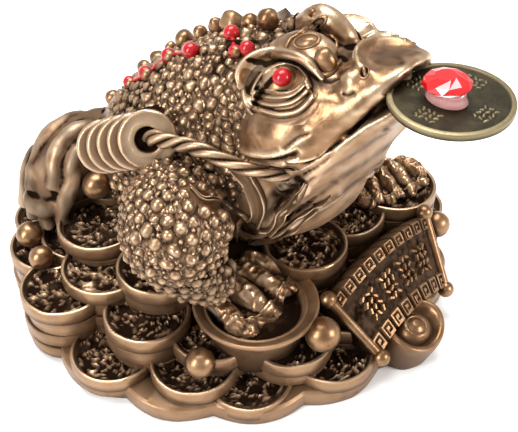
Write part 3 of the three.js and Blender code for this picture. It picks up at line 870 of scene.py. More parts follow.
def shadeOf(points, normals):
    # how dark the drawn shades make each point, on the near side and mirrored on the other
    side = towardsShot(points)
    pixels = pixelsOf(points * side)
    facing = step(-0.1, 0.2, (normals * side) @ shotAxes()[2])
    dark = np.zeros(len(points))
    for u, v, a, b, lean, strength in headShade["spots"]:
        c, n = math.cos(math.radians(lean)), math.sin(math.radians(lean))
        x, y = pixels[:, 0] - u, pixels[:, 1] - v
        away = np.hypot((x * c + y * n) / a, (y * c - x * n) / b)
        dark = np.maximum(dark, strength * step(1.2, 0.6, away))
    for path, wide, strength in headShade["streaks"]:
        gap, _, share = besidePath(pixels, path)
        dark = np.maximum(dark, strength * bell(gap, wide) * faded(share))
    return dark * facing * (0.75 + 0.25 * grain3(points, 1.4, 31))


def onBothSides(shells):
    # each shell and its mirror image
    return [*shells, *(mirrored(shell) for shell in shells)]


def noseShell():
    # a shallow dish turned round, squeezed to its half sizes, tipped forward
    points, tris = turned(nose["profile"], 48)
    points = points * (nose["half"][0] / nose["r"], nose["half"][1] / nose["r"], 1)
    return turn(points, "x", nose["tilt"]) + nose["at"], tris


def roundMass(at, half):
    # a ball stretched to its half sizes
    points, tris = ball((0, 0, 0), 1.0, 36, 20)
    return points * half + at, tris


def medal(tree, middle, half, lean, corner, rows):
    # an oval of the photograph's pixels laid on a surface, its rows raised along the normal at its middle
    share, high, dark = np.array(rows, float).T
    sides = crest["sides"]
    c, n = (np.sign(x) * np.abs(x) ** corner for x in circle(sides))
    a = math.radians(lean)
    u = middle[0] + share[:, None] * (half[0] * c * math.cos(a) - half[1] * n * math.sin(a))
    v = middle[1] + share[:, None] * (half[0] * c * math.sin(a) + half[1] * n * math.cos(a))
    at = seenAt(tree, np.stack([u.ravel(), v.ravel()], 1)).reshape(len(share), sides, 3)
    normal = np.array(tree.find_nearest(Vector(at[-1].mean(0)))[1])
    return shellOf(at + high[:, None, None] * normal), np.append(np.repeat(dark, sides), [dark[0], dark[-1]])


def makeHead():
    # all masses cast together, smoothed away from the crest, then carved
    bulb = ball(inHead(-nostrils["x"], nostrils["forward"], nostrils["rise"]), nostrils["r"])
    arches = [tube(crest[name], crest[name + "R"], 50, 24) for name in ("near", "far")]
    shells = [*headParts, *onBothSides([bulb]), noseShell(), roundMass(lip["at"], lip["half"]), *arches]
    points, tris = castTogether(shells, head["voxel"])
    edges = edgesOf(tris)
    crestGap, _ = nearest(points, np.vstack([smoothRows(crest[k], 20) for k in ("near", "far")]))
    smooth = step(*head["crestReach"], crestGap)
    points = relaxed(points, edges, head["relaxed"][0], smooth[:, None])
    return carveHead(relaxed(points, edges, head["relaxed"][1]), tris), tris, edges


def carveHead(points, tris):
    # the same on both sides, on what faces the camera on the near one
    side = towardsShot(points)
    normals = normalsOf(points, tris)
    pixels = pixelsOf(points * side)
    facing = step(0.0, 0.3, (normals * side) @ shotAxes()[2])
    push = 0.10 * grain3(points, 3.2, 1) + 0.05 * grain3(points, 1.1, 2)
    for u, v, wide, high in headShape["swells"]:
        push += facing * high * bell(farFrom(pixels, u, v), wide)
    for path, wide, high, furrow in headShape["folds"]:
        push += facing * foldHeight(pixels, path, wide, high, furrow)
    return points + normals * push[:, None]


headPoints, headTris, headEdges = makeHead()
headTree = treeOf((headPoints, headTris))


def makeCrestTrim():
    # ovals and thin lips laid on the finished head, the nostril on both sides
    shells, masks = [], []
    for middle, half, lean, corner, rows in crest["medals"]:
        shell, dark = medal(headTree, middle, half, lean, corner, rows)
        shells.append(shell)
        masks.append(dark)
    for pixels, radii in crest["trim"]:
        path, _ = laidOn(headTree, seenAt(headTree, pixels), 24, 0.05)
        shells.append(tube(path, radii, 40, 12))
        masks.append(np.zeros(len(shells[-1][0])))
    shells.append(mirrored(shells[crest["nostril"]]))
    masks.append(masks[crest["nostril"]])
    return joined(shells), {"hollow": np.concatenate(masks)}


trimShell, trimMasks = makeCrestTrim()
castPiece("crestTrim", trimShell, trimMasks)


def hats(fine, coarse):
    # weights of straight-line interpolation from coarse places to fine ones
    return np.maximum(0, 1 - np.abs(fine[:, None] - coarse[None]) / (coarse[1] - coarse[0]))


def slabShell(front, back):
    # the front of a sheet and its back as one ring of columns, closed at both ends
    return shellOf(np.concatenate([front, back[:, ::-1]], 1))


def slabMask(field, back):
    # values of a sheet's front, with ones for its back and both its ends
    return np.append(np.concatenate([field, np.ones(back.shape[:2])], 1).ravel(), [1, 1])


def blurred(field, times):
    # mean of each place and its four neighbours, again and again
    for _ in range(times):
        edge = np.pad(field, 1, mode="edge")
        field = (field + edge[2:, 1:-1] + edge[:-2, 1:-1] + edge[1:-1, 2:] + edge[1:-1, :-2]) / 5
    return field


def roll(gap, half):
    # rounded ridge of that half width
    return np.maximum(1 - (gap / half) ** 2, 0) ** 0.7


def overhang(across):
    # from -1 to 1: a slope that faces outwards, a rounded crest, and a steep drop inside it
    return np.interp(across, (-1, -0.85, -0.4, 0.2, 0.6, 0.86, 1.0), (0, 0.3, 0.66, 0.93, 1.0, 0.78, 0))


def makeEye(browHigh):
    # depth of the bare head behind each pixel, less the height of ball, lids, brow and folds
    right, up, back = shotAxes()
    eye = np.array(shot["at"])
    (left, top), (end, bottom) = eyes["window"]
    u = np.arange(left, end, eyes["spacing"])
    v = np.arange(top, bottom, eyes["spacing"])
    fewU = np.arange(left - 2, end + 4, eyes["coarse"])
    fewV = np.arange(top - 2, bottom + 4, eyes["coarse"])
    seen = seenAt(headTree, [(a, b) for a in fewU for b in fewV])
    depth = (-(seen - eye) @ back).reshape(len(fewU), len(fewV))
    depth = hats(u, fewU) @ blurred(depth, 2) @ hats(v, fewV).T
    gridU, gridV = np.meshgrid(u, v, indexing="ij")
    pixels = np.stack([gridU.ravel(), gridV.ravel()], 1)
    shape = gridU.shape
    ballAt = np.array([eyes["at"]])
    far = np.hypot(*(pixels - pixelsOf(ballAt)).T).reshape(shape)
    ballDepth = (-(ballAt - eye) @ back)[0]
    scale = ballDepth / shot["focal"]
    ballHigh = depth - ballDepth + np.sqrt(np.maximum(eyes["r"] ** 2 - (far * scale) ** 2, 0.01))
    fromU, fromV = gridU - eyes["middle"][0], gridV - eyes["middle"][1]
    opening, socket = (np.hypot(fromU / a, fromV / b) for a, b in (eyes["opening"], eyes["socket"]))
    beside = lambda path: [x.reshape(shape) for x in besidePath(pixels, path)]
    bagU, bagV, bagWide, bagTall, bagHigh = eyes["bag"]
    bag = 1 - ((gridU - bagU) / bagWide) ** 2 - ((gridV - bagV) / bagTall) ** 2
    skin = np.maximum(0.12, bagHigh * np.sqrt(np.maximum(bag, 0)) * step(*eyes["bagRows"], gridV))
    skin = np.maximum(skin, ballHigh + 0.12)
    lidGap, lidLeft, _ = beside(eyes["lid"])
    lowGap, lowLeft, _ = beside(eyes["lower"])
    browGap, browLeft, browShare = beside(eyes["brow"])
    inside = step(-0.8, 0.8, -lidGap * lidLeft) * step(-0.8, 0.8, lowGap * lowLeft)
    inside = inside * step(1.12, 0.98, opening)
    trench = (lidLeft > 0) * step(1.5, 3.5, lidGap) * step(1.2, 0.9, socket)
    skin = skin - eyes["trench"] * trench
    skin += eyes["lidHigh"] * overhang(-lidLeft * lidGap / eyes["lidWide"]) + 0.35 * roll(lowGap, 1.6)
    for fold, wide, high in eyes["folds"]:
        gap, _, share = beside(fold)
        skin += faded(share) * high * (roll(gap, wide) - 0.5 * bell(gap - wide * 1.3, wide * 0.4))
    crease = 0
    for path, wide, low in eyes["creases"]:
        gap, _, share = beside(path)
        furrow = faded(share) * bell(gap, wide)
        crease = crease + furrow
        skin -= low * furrow
    wide = smoothRows(eyes["browWide"], pathSteps)[np.rint(browShare * (pathSteps - 1)).astype(int)]
    skin = np.maximum(skin, 0.1 + browHigh * overhang(-browLeft * browGap / wide))
    high = skin * (1 - inside) + np.maximum(ballHigh, -0.8) * inside
    keptU, keptV, keptWide, keptTall = eyes["kept"]
    reach = np.hypot((gridU - keptU) / keptWide, (gridV - keptV) / keptTall)
    outside = np.minimum(reach, 0.9 + 0.14 * np.maximum(browGap / np.maximum(wide, 1) - 0.9, 0) / 0.3)
    high = high - 0.16 * step(0.84, 1.04, outside) - eyes["sink"] * step(1.03, 1.16, outside)
    # painted shade with the dark wash in the hollows, under the lids at the edge of the opening, in the
    # creases and the trench under the brow; wear with painted highlights on the raised relief
    hollow = step(0.04, 0.35, blurred(high, 14) - high) + 0.9 * inside * step(0.62, 1.0, opening)
    hollow = hollow + 0.5 * crease + 0.8 * trench * (browGap > wide * 0.8)
    wornAndHighlight = step(0.04, 0.3, high - blurred(high, 14)) * 0.6
    across = right * (gridU[..., None] - shot["width"] / 2)
    down = up * (gridV[..., None] - shot["height"] / 2)
    ways = (across - down) / shot["focal"] - back
    front = eye + ways * (depth - high)[..., None]
    behind = (eye + ways * (depth + eyes["thick"])[..., None])[:, ::10]
    return slabShell(front, behind), [slabMask(field, behind) for field in (hollow, wornAndHighlight)]


print("eyes")
(nearEye, nearMasks), (farEye, farMasks) = (makeEye(high) for high in eyes["browHigh"])
eyeMasks = dict(zip(("hollow", "wornAndHighlight"), np.hstack([nearMasks, farMasks])))
castPiece("eyeFolds", joined([nearEye, mirrored(farEye)]), eyeMasks)

# The toad's back, legs and feet
body = {
    "torso": [
        (31, 9, 27, 16), (27, 14.5, 33.5, 13), (21, 18.5, 40.5, 12), (14, 20.6, 46.8, 12), (7, 21.4, 52, 12),
        (0, 21, 57, 12), (-7, 19.8, 61, 14), (-13, 17.8, 62.2, 20), (-19, 15, 61, 29), (-25, 10.5, 55, 38),
    ],
    "arm": [
        (-19.6, -9, 39.6), (-25.4, -11.8, 36), (-27.4, -15.2, 31.8), (-26.6, -18, 26.6),
        (-22.8, -20.8, 21.2),
    ],
    "armR": (6, 9.2, 9.6, 6.2, 3.6),
    "leftArm": [(16, -5, 37), (19.6, -5.6, 33.4), (21.6, -8, 29.6), (23.4, -13.6, 26), (24.8, -19.6, 22.6)],
    "leftArmR": (6, 8, 8.2, 6.2, 4),
    "haunch": [(-8, 23, 27), (-15, 23.4, 28), (-21, 23.4, 27), (-25.6, 23.8, 23), (-28.6, 24.2, 18.6)],
    "haunchR": (5.6, 6.6, 6.8, 6, 4.4),
    "voxel": 0.45,
}
hindToes = {"count": 4, "spread": 12, "r": (1.0, 1.6, 1.9, 1.4, 1.9)}
# Bands of skin that flow down the thigh: pixels and radii
haunchBands = [
    ([(84, 112), (66, 117), (50, 124), (38, 136), (31, 150), (29, 164), (31, 178), (31, 190)],
     (1.0, 1.9, 2.2, 2.1, 1.9, 1.6, 1.7, 1.9)),
    ([(92, 122), (78, 128), (66, 137), (57, 149), (53, 162), (54, 176), (53, 190)],
     (0.9, 1.7, 1.9, 1.8, 1.5, 1.5, 1.6)),
    ([(88, 138), (78, 150), (72, 164), (68, 178), (64, 192)], (0.8, 1.5, 1.4, 1.3, 1.4)),
    ([(24, 196), (34, 205), (46, 209), (57, 205)], (1.5, 2.1, 2.2, 1.6)),
    ([(62, 196), (70, 190), (77, 180)], (1.3, 1.2, 0.8)),
]
# A forefoot in its own frame, the toad's left one: size 1 is the right one, mirrored.
feet = {
    "right": {"at": (-17.6, -20.4, 16.4), "side": -1, "size": 1.0},
    "left": {"at": (25.2, -22.6, 19.8), "side": 1, "size": 0.74},
    "palm": (6.8, 4.4, 1.6),
    "palmAt": (0.5, 1.6, 0.2),
    "wrist": [(8.4, 0.9, 0.2), (6.2, 2.4, 0.9), (1.8, 3.6, 1.2), (-3.0, 4.6, 1.4), (-7.5, 5.7, 1.2)],
    "ridge": [
        (9.6, -5.5, -0.9), (6.8, -6.4, 0.1), (2.5, -7.6, 0.4), (-3.7, -6.8, 0.7), (-7.8, -5.2, 0.9),
        (-10.9, -3.2, 0.9), (-13.1, -0.7, 0.8),
    ],
    "tips": [
        (9.1, -8.0, -1.2), (6.1, -10.0, -1.0), (2.6, -8.8, -0.9), (-0.5, -10.0, -0.8),
        (-4.1, -7.8, -0.8), (-7.4, -8.1, -0.6), (-10.1, -5.6, -0.5), (-12.9, -4.6, -0.4),
        (-14.2, -0.5, -0.4),
    ],
    "claws": (1, 3, 5, 7),
    "toes": [
        [(9.1, -1.4, 1.2), (9.2, -3.8, 0.6), (8.5, -6.2, -0.6)],
        [(7.4, 0.7, 3.2), (7.5, -2.5, 3.4), (7.1, -5.2, 2.6), (6.1, -7.3, 0.6)],
        [(2.1, 1.2, 4.0), (1.7, -1.6, 4.0), (1.1, -4.1, 3.2), (0.6, -7.0, 1.0)],
        [(-1.8, 1.5, 4.2), (-2.9, -1.4, 4.0), (-3.8, -4.1, 3.0), (-4.2, -7.1, 1.4)],
        [(-5.4, 3.1, 3.8), (-6.9, 0.5, 3.4), (-8.3, -1.8, 2.6), (-9.6, -4.1, 1.5)],
    ],
    "toeWide": (1.2, 2.3, 2.3, 2.1, 1.9),
    "bend": 0.74,
    "thick": 2.4,
    "columns": 130,
    "rows": 78,
}


def placeFoot(foot, p):
    # sized, mirrored for the other side and moved to its place
    return np.array(foot["at"]) + np.array(p, float) * (foot["side"], 1, 1) * foot["size"]


def palmShell(foot):
    # a flat ball in the foot's own frame
    points, tris = ball((0, 0, 0), 1.0)
    return outward(placeFoot(foot, points * feet["palm"] + feet["palmAt"]), tris)


def footSheet():
    # a web lofted from the wrist over a ridge to the claws, with a crumpled, rounded toe along each toe line
    lines = (smoothRows(feet[name], feet["columns"]) for name in ("wrist", "ridge", "tips"))
    wrist, ridge, tips = (line[:, None] for line in lines)
    share = np.linspace(0, 1, feet["rows"])[None, :, None]
    bend = feet["bend"]
    near, far = np.clip(share / bend, 0, 1), np.clip((share - bend) / (1 - bend), 0, 1)
    grid = wrist + (ridge - wrist) * near + (tips - ridge) * far
    flat = grid[..., :2].reshape(-1, 2)
    flat3 = grid.reshape(-1, 3) * (1, 1, 0)
    for toe, wide in zip(feet["toes"], feet["toeWide"]):
        line = smoothRows(toe, 60)
        gap, which = nearest(flat, line[:, :2])
        half = wide * (1 + 0.12 * grain3(line[which], 1.8, 41))
        lumps = 0.2 + 0.5 * grain3(flat3, 1.7, 42) + 0.3 * grain3(flat3, 0.9, 44)
        high = line[which, 2] + lumps - 2.4 * (1 - np.sqrt(np.maximum(1 - (gap / half) ** 2, 0)))
        high = np.where(gap < half, high, -9).reshape(grid.shape[:2])
        grid[..., 2] = np.maximum(grid[..., 2], high)
    for k in feet["claws"]:
        tip = np.array(feet["tips"][k], float)
        root = tip * (0.78, 0.74, 1) + (0, 0, 1.0)
        along = root + (tip - root) * np.linspace(0, 1, 20)[:, None]
        gap, _ = nearest(flat, along[:, :2])
        grid[..., 2] += 0.6 * roll(gap, 0.9).reshape(grid.shape[:2]) * (share[..., 0] > bend * 0.95)
    grid[..., 2] += 0.35 * roll(np.abs(share[..., 0] - bend), 0.022)
    grid[..., 2] += 0.14 * (1 - 2.6 * np.abs(grain3(grid * (1, 1, 0), 1.3, 43)))
    back = (grid - (0, 0, feet["thick"]))[:, ::10]
    # the dark wash with painted shade where the sheet lies low, wear with painted highlights where it stands
    # high
    low = blurred(grid[..., 2], 30) - grid[..., 2]
    masks = {"hollow": step(-0.05, 0.3, low), "wornAndHighlight": 0.5 * step(0.05, 0.5, -low)}
    return slabShell(grid, back), {name: slabMask(field, back) for name, field in masks.items()}


def hindShells(tree):
    # thigh, the bands that flow down it, and its toes
    shells = [tube(body["haunch"], body["haunchR"], 60, 40)]
    end = np.array(body["haunch"][-1])
    for place in np.linspace(-0.5, 0.5, hindToes["count"]):
        x = end[0] - 1.2 + abs(place) * 4
        y = end[1] + place * hindToes["spread"]
        path = [
            (x + 6.4, end[1] + 0.4 * (y - end[1]), end[2] + 12),
            (x + 2.6, y, end[2] + 9),
            (x, y, end[2] + 5.0),
            (x - 1.8, y, end[2] + 0.6),
            (x - 1.5, y + place * 2, end[2] - 3),
        ]
        shells.append(tube(path, hindToes["r"], 40, 14))
    for pixels, radii in haunchBands:
        path, _ = laidOn(tree, seenAt(tree, pixels), 30, -0.5)
        shells.append(tube(path, radii, 60, 16))
    return shells


def makeBody():
    # torso, legs and palms cast together, smoothed away from the crisp places
    y, x, z = bodySections(body["torso"], 100, 110, 0.42, 0.85)
    torso = shellOf(np.stack([x, np.broadcast_to(y, x.shape), z], -1))
    haunch = treeOf(joined([torso, tube(body["haunch"], body["haunchR"], 60, 40)]))
    arms = [tube(body["arm"], body["armR"], 60, 48), tube(body["leftArm"], body["leftArmR"], 60, 48)]
    forefeet = [palmShell(feet[side]) for side in ("right", "left")]
    points, tris = castTogether([torso, *arms, *forefeet, *hindShells(haunch)], body["voxel"])
    edges = edgesOf(tris)
    ends = np.array([np.array(feet[side]["at"]) - (0, 4, 0) for side in ("right", "left")])
    toeGap, _ = nearest(points, ends)
    legGap, _ = nearest(points, smoothRows(body["haunch"], 20))
    smooth = step(10, 13, toeGap) * step(8, 11, legGap)
    points = relaxed(points, edges, 12, smooth[:, None])
    return relaxed(points, edges, 2), tris, edges


print("body")
bodyPoints, bodyTris, bodyEdges = makeBody()

# Bands of loose skin between the throat and the arm, each from one edge to the other with a lip along both
neckFolds = {
    # Share of the way across, millimetres more, lift, how dark; the darkness is painted shade where each band
    # tucks into the skin and along its middle
    "section": [
        (0, -0.1, -1.7, 1), (0, -0.26, 0.0, 0.8), (0, -0.16, 0.8, 0.1), (0, 0.06, 1.1, 0),
        (0, 0.3, 0.8, 0.2), (0.16, 0.36, 0.32, 0.55), (0.5, 0, 0.24, 0.35), (0.84, -0.36, 0.32, 0.55),
        (1, -0.3, 0.8, 0.2), (1, -0.06, 1.1, 0), (1, 0.16, 0.8, 0.1), (1, 0.26, 0.0, 0.8),
        (1, 0.1, -1.7, 1),
    ],
    "rows": 80,
    "bands": [
        ([(189, 186), (203, 198.5), (218, 200), (233, 204.5), (245, 213.6), (250, 218)],
         [(190, 189), (206, 202), (222, 209), (236, 218), (241, 227), (238, 241)]),
        ([(230, 168), (241, 180), (248, 191), (252, 203), (253, 214), (249, 218)],
         [(241, 162), (251, 173), (260, 186), (265, 198.5), (265.6, 211), (260, 226)]),
        ([(260, 228), (269, 228), (275, 217), (284, 206), (295, 197), (303, 191), (306, 183)],
         [(271, 233), (277, 227), (285, 215), (292, 208), (301, 198.5), (306, 190), (308, 184)]),
        ([(272, 233), (286, 226), (298, 217), (312, 208), (330, 195.5)],
         [(249, 239), (274, 238), (288, 232), (302, 222), (331, 197)]),
    ],
}

# Warts, scattered no closer than their sizes allow
warts = {
    "gap": 0.9, "flat": 0.8, "sides": 8, "swell": 0.3, "rounds": 14,
    "dome": [(0.98, -0.4), (0.96, 0.1), (0.66, 0.62), (0.1, 0.96)],
    "large": (0.74, 1.26), "largeSpread": (0.75, 1.3), "small": (0.38, 0.6), "smallSpread": (0.8, 1.2),
    # how many large and small ones are tried on each region
    "tries": ((3400, 3600), (1600, 1600), (4600, 4600), (1400, 1400)),
    # pixels round which the skin is bare: at the folds and beside the forefoot
    "bare": (252, 232), "paw": (238, 262),
}


def scatter(points, normals, chance, count, radii, before):
    # random vertices clear of the warts before; one stays if none that touches it comes before it, in rounds
    pick = rng.choice(len(points), count, p=chance / chance.sum())
    r = radii(points[pick])
    if before is not None:
        gap, which = nearest(points[pick], before[0])
        clear = gap > (r + before[2][which]) * warts["gap"]
        pick, r = pick[clear], r[clear]
    spots = points[pick].astype(np.float32)
    r = r.astype(np.float32)
    sums = (r[:, None] + r[None]) * np.float32(warts["gap"])
    square = (spots**2).sum(1)
    clash = square[:, None] + square[None] - 2 * spots @ spots.T < sums**2
    np.fill_diagonal(clash, False)
    order = np.argsort(np.argsort(-r + rng.uniform(0, 0.7, len(r))))
    clash &= order[None] < order[:, None]
    alive = np.ones(len(r), bool)
    kept = np.zeros(len(r), bool)
    for _ in range(warts["rounds"]):
        first = alive & ~clash[:, alive].any(1)
        kept |= first
        alive &= ~(clash[:, first].any(1) | first)
    return spots[kept].astype(float), normals[pick][kept], r[kept].astype(float)


def wartShells(spots, out, r):
    # the same small dome at every spot, each a little oval and uneven
    points, tris = turned(warts["dome"], warts["sides"])
    side = unit(np.cross(out, unit(rng.normal(size=out.shape))))
    up = np.cross(out, side)
    oval = rng.uniform(0.82, 1.22, (len(r), 1, 1))
    local = points[None, :, :1] * side[:, None] * oval + points[None, :, 1:2] * up[:, None] / oval
    local = local + points[None, :, 2:] * out[:, None] * warts["flat"]
    grid = spots[:, None] + local * r[:, None, None]
    grid = grid + 0.18 * r[:, None, None] * grain3(grid, 0.8, 21)[..., None] * out[:, None]
    high = np.broadcast_to(points[:, 2], (len(r), len(points)))
    allTris = tris[None] + (np.arange(len(r)) * len(points))[:, None, None]
    return (grid.reshape(-1, 3), allTris.reshape(-1, 3)), high.ravel()


def lowDown(points):
    # 1 low on the arm, where the dark coat was sprayed thin, further down on the inner side
    return step(37, 27, points[:, 2] - 0.3 * points[:, 0] - 7)


print("warts")
bodyNormals = normalsOf(bodyPoints, bodyTris)
headNormals = normalsOf(headPoints, headTris)
armGap, _ = nearest(bodyPoints, smoothRows(body["arm"][:-1], 30))
leftArmGap, _ = nearest(bodyPoints, smoothRows(body["leftArm"][:-1], 30))
haunchGap, _ = nearest(bodyPoints, smoothRows(body["haunch"], 30))
onArm = (step(12.5, 11.0, armGap) + step(11.0, 9.5, leftArmGap)).clip(0, 1)
palms = np.array([feet[side]["at"] for side in ("right", "left")]) + (0, -1.5, 0)
bodyWarty = step(17.0, 19.0, bodyPoints[:, 2]) * step(10.5, 12.5, haunchGap)
bodyWarty *= np.maximum(onArm, step(-22, -16, bodyPoints[:, 1]) * step(19.0, 22.0, bodyPoints[:, 2]))
bodyWarty *= step(9.0, 10.2, nearest(bodyPoints, palms)[0])
nearSide = pixelsOf(bodyPoints * towardsShot(bodyPoints))
for edges in neckFolds["bands"]:
    middle = np.mean([smoothRows(edge, 40) for edge in edges], axis=0)
    bodyWarty *= step(6, 9, nearest(nearSide, middle)[0])
bodyWarty *= step(9, 14, farFrom(nearSide, *warts["bare"]))
lowArm = onArm * lowDown(bodyPoints)
# beside the right forefoot, where painted shade is put and the beige coat is left off
besidePaw = step(10.5, 7.5, farFrom(nearSide, *warts["paw"]) / 2.4) * step(34, 30, bodyPoints[:, 2])
lowArm *= 1 - besidePaw
_, forward, rise = headCoordinates(headPoints)
backOfHead = step(-3.2, -5.0, forward + np.clip((1.5 - rise) * 1.9, 0, 10.5))
headWarty = backOfHead * step(-13.5, -11.5, rise) * step(38, 42, headPoints[:, 2])


def makeWarts():
    # on each region large ones first, then small ones in the gaps
    broad = lambda p, low, high: np.interp(grain3(p, 6.0, 5), (-0.6, 0.6), (low, high))
    left = bodyPoints[:, 0] > 8
    regions = (
        (bodyPoints, bodyNormals, bodyWarty * onArm * ~left),
        (bodyPoints, bodyNormals, bodyWarty * onArm * left),
        (bodyPoints, bodyNormals, bodyWarty * (1 - onArm)),
        (headPoints, headNormals, headWarty),
    )
    sets = []
    for (points, normals, mask), (many, more) in zip(regions, warts["tries"]):
        chance = mask + 1e-12
        large = lambda p: broad(p, *warts["large"]) * rng.uniform(*warts["largeSpread"], len(p))
        small = lambda p: rng.uniform(*warts["small"], len(p)) * rng.uniform(*warts["smallSpread"], len(p))
        first = scatter(points, normals, chance, many, large, None)
        sets += [first, scatter(points, normals, chance, more, small, first)]
    return [np.concatenate(part) for part in zip(*sets)]


wartSpots, wartOut, wartR = makeWarts()
print("  warts kept", len(wartR))


def raisedByWarts(points, normals):
    # the skin swells a little under each wart, and the foot of each is a hollow
    gap, which = nearest(points, wartSpots)
    r = wartR[which]
    return points + normals * (warts["swell"] * r * bell(gap, r * 1.2))[:, None], gap / r


# Beads on the back: gold ones along the spine, red-painted ones in two short rows
backBeads = {
    "count": 9,
    "from": (0, -11.0, 63.2),
    "to": (0, 24.0, 38.2),
    "rise": 3.1,
    "r": 2.0,
    "taper": 0.3,
    "red": [
        (133, 80, 1.3), (150, 72, 1.5), (172, 55, 1.5), (195, 50, 1.6), (234, 33, 1.5), (237, 49, 1.2),
        (249, 47, 1.4),
    ],
}
bodyTree = treeOf((bodyPoints, bodyTris))


def makeSpine():
    # beads on an arc, each a little smaller and lumpier than the last
    shells = []
    for k in range(backBeads["count"]):
        t = k / (backBeads["count"] - 1)
        at = np.array(backBeads["from"]) * (1 - t) + np.array(backBeads["to"]) * t
        at[2] += backBeads["rise"] * math.sin(math.pi * t) + 0.3
        r = backBeads["r"] * (1 - backBeads["taper"] * t) * (1 + 0.2 * math.sin(4 * k))
        points, tris = ball((0, 0, 0), r, 22, 14)
        points[:, 2] *= 1 + 0.35 * step(0, r, points[:, 2]) * (k % 3 == 0)
        shells.append((points * (1 + 0.2 * grain3(points + k * 5, 1.8, 15))[:, None] + at, tris))
    return shells


def makeRedDots():
    # balls whose front stays gold where the paint missed it, and a painted line between them
    shells, bare = [], []
    right, up, back = shotAxes()
    spots = seenAt(bodyTree, [(u, v + 5) for u, v, r in backBeads["red"]])
    for place, (u, v, r) in zip(spots, backBeads["red"]):
        hit, normal, _, _ = bodyTree.find_nearest(Vector(place))
        at = np.array(hit) + np.array(normal) * r * 0.7
        shells.append(ball(at, r, 18, 12))
        bare.append(ball(at + r * (0.28 * back - 0.16 * up + 0.2 * right), r * 0.86, 18, 12))
    for row in (spots[:4], spots[4:6]):
        line, _ = laidOn(bodyTree, row, 40, 0.9)
        shells.append(tube(line, (0.35, 0.4, 0.4, 0.35), 80, 8))
    return shells, bare[:3] + bare[5:6]


# The heap of coins under the toad
coins = {
    "r": 8.4, "h": 3.3, "rim": 0.75, "dip": 1.3, "sides": 72, "stackSides": 48, "rings": 19, "inset": 0.4,
    "base": {"r": 44.9, "lobe": 2.3, "h": 3.9, "lobes": 16, "start": 164.0},
    "outer": [
        (168, 39.6, 13.6), (189.5, 39.7, 6.2), (214, 37.6, 7.5), (230, 38.8, 4.6), (254.5, 39.4, 6.6),
        (299, 38.6, 8.2), (320, 38.8, 11.4), (341, 38.6, 8), (2, 38.8, 11.6), (23, 38.6, 8.2),
        (44, 38.8, 14.2), (65, 38.6, 8), (86, 38.8, 11.6), (107, 38.6, 8.2), (128, 39, 9.4),
        (147, 38.2, 12.6),
    ],
    "middle": [
        (172.5, 31.6, 16.4), (196, 33.4, 13.4), (219, 32.4, 11), (243.4, 35.6, 10.8), (268, 34, 10),
        (292, 33, 12), (316, 32.4, 15), (340, 32, 13), (4, 32.4, 16), (28, 32, 14.4), (52, 32.4, 17),
        (76, 32, 14), (100, 32.4, 15.4), (124, 32, 15.2), (148, 31.6, 14.6),
    ],
    "inner": [
        (156, 28.4, 19.8), (193, 26, 18.8), (228, 24, 15), (266, 23.2, 19.6), (300, 25, 18.4), (336, 26, 19),
        (14, 25, 20.4), (52, 25, 19), (90, 26, 19.6), (124, 25, 20.2),
    ],
    "core": [(36, 0.5), (34, 7), (26, 13.6), (12, 19)],
    "left": (25.2, -24.4, 8.8, 19.4),
    "leftDepth": 8.0,
}
# The plain dish under the right forefoot: radius, height, how dark; the darkness is painted shade with the
# dark wash low on its side and where the foot rests in it
dish = {
    "at": (-18.4, -25.2, 17.4),
    "sides": 72,
    "rows": [
        (8.6, -10.6, 0.9), (9.6, -4.6, 0.65), (10.6, -2.8, 0.4), (11.8, -1.0, 0.2), (12, -0.45, 0),
        (11.9, -0.1, 1 / 12), (11.6, 0, 1 / 6), (11.2, -0.25, 0.25), (9.9, -0.9, 0.6), (9.5, -0.75, 0),
        (9.2, -0.9, 0.1), (8.5, -2.4, 1), (0.05, -2.5, 0.95),
    ],
}


def topCoin(x, y, top, r, seed):
    # wall, rounded rim and a sunk field with rough worn marks on it
    thick, rim = coins["h"], coins["rim"]
    dip = min(coins["dip"], max(0.35, top - coins["base"]["h"] - 0.15))
    lip = r - rim
    wall = [(r - 0.25, -thick), (r, -thick + 0.3), (r + 0.04, -thick / 2), (r, -0.4)]
    wall += [(r - 0.1, -0.12), (r - 0.35, 0)]
    edge = [(lip + 0.2, -0.03), (lip, -0.18), (lip - 0.22, -dip + 0.25), (lip - 0.42, -dip)]
    field = [(v, -dip) for v in np.linspace(lip - 0.7, 0.2, coins["rings"])]
    grid = turnedGrid(wall + edge + field, coins["sides"]) + (x, y, top)
    flat = np.zeros(len(wall + edge + field))[:, None]
    flat[len(wall) + len(edge) - 1 :] = 1
    rough = roughField(grid + (0, 0, seed * 5.1)) * flat
    grid[..., 2] += rough
    grid[..., :2] += 0.07 * grain3(grid, 2.2, 3)[..., None] * (1 - flat[..., None])
    grid[..., 2] += 0.10 * grain3(grid, 3.1, 11) * (1 - flat) * (grid[..., 2] > top - 0.6)
    # the dark wash with painted shade in the sunk field but for its crumbs, in the sunk edge and towards the
    # foot of the wall; wear with painted highlights on the crumbs and the top of the wall
    low = step(top - 1.6, top - thick + 0.1, grid[..., 2]) * (1 - flat)
    mask = np.maximum(flat * (1.0 - 0.85 * step(0.25, 0.5, rough)), 0.8 * low**3)
    mask[len(wall) + 1 : len(wall) + len(edge)] = 0.85
    rough[len(wall) - 2 : len(wall) + 1] = 0.7
    return shellOf(grid), np.append(mask.ravel(), [0.9, 0.9]), np.append(rough.ravel(), [0, 0])


def roughField(points):
    # crinkles: folded noise at two sizes, as a worn pattern gives
    broad = 1 - 2.4 * np.abs(grain3(points, 1.5, 8))
    fine = 1 - 2.2 * np.abs(grain3(points, 0.62, 9))
    return np.clip(0.5 * broad + 0.5 * fine - 0.2, -0.1, 0.8)


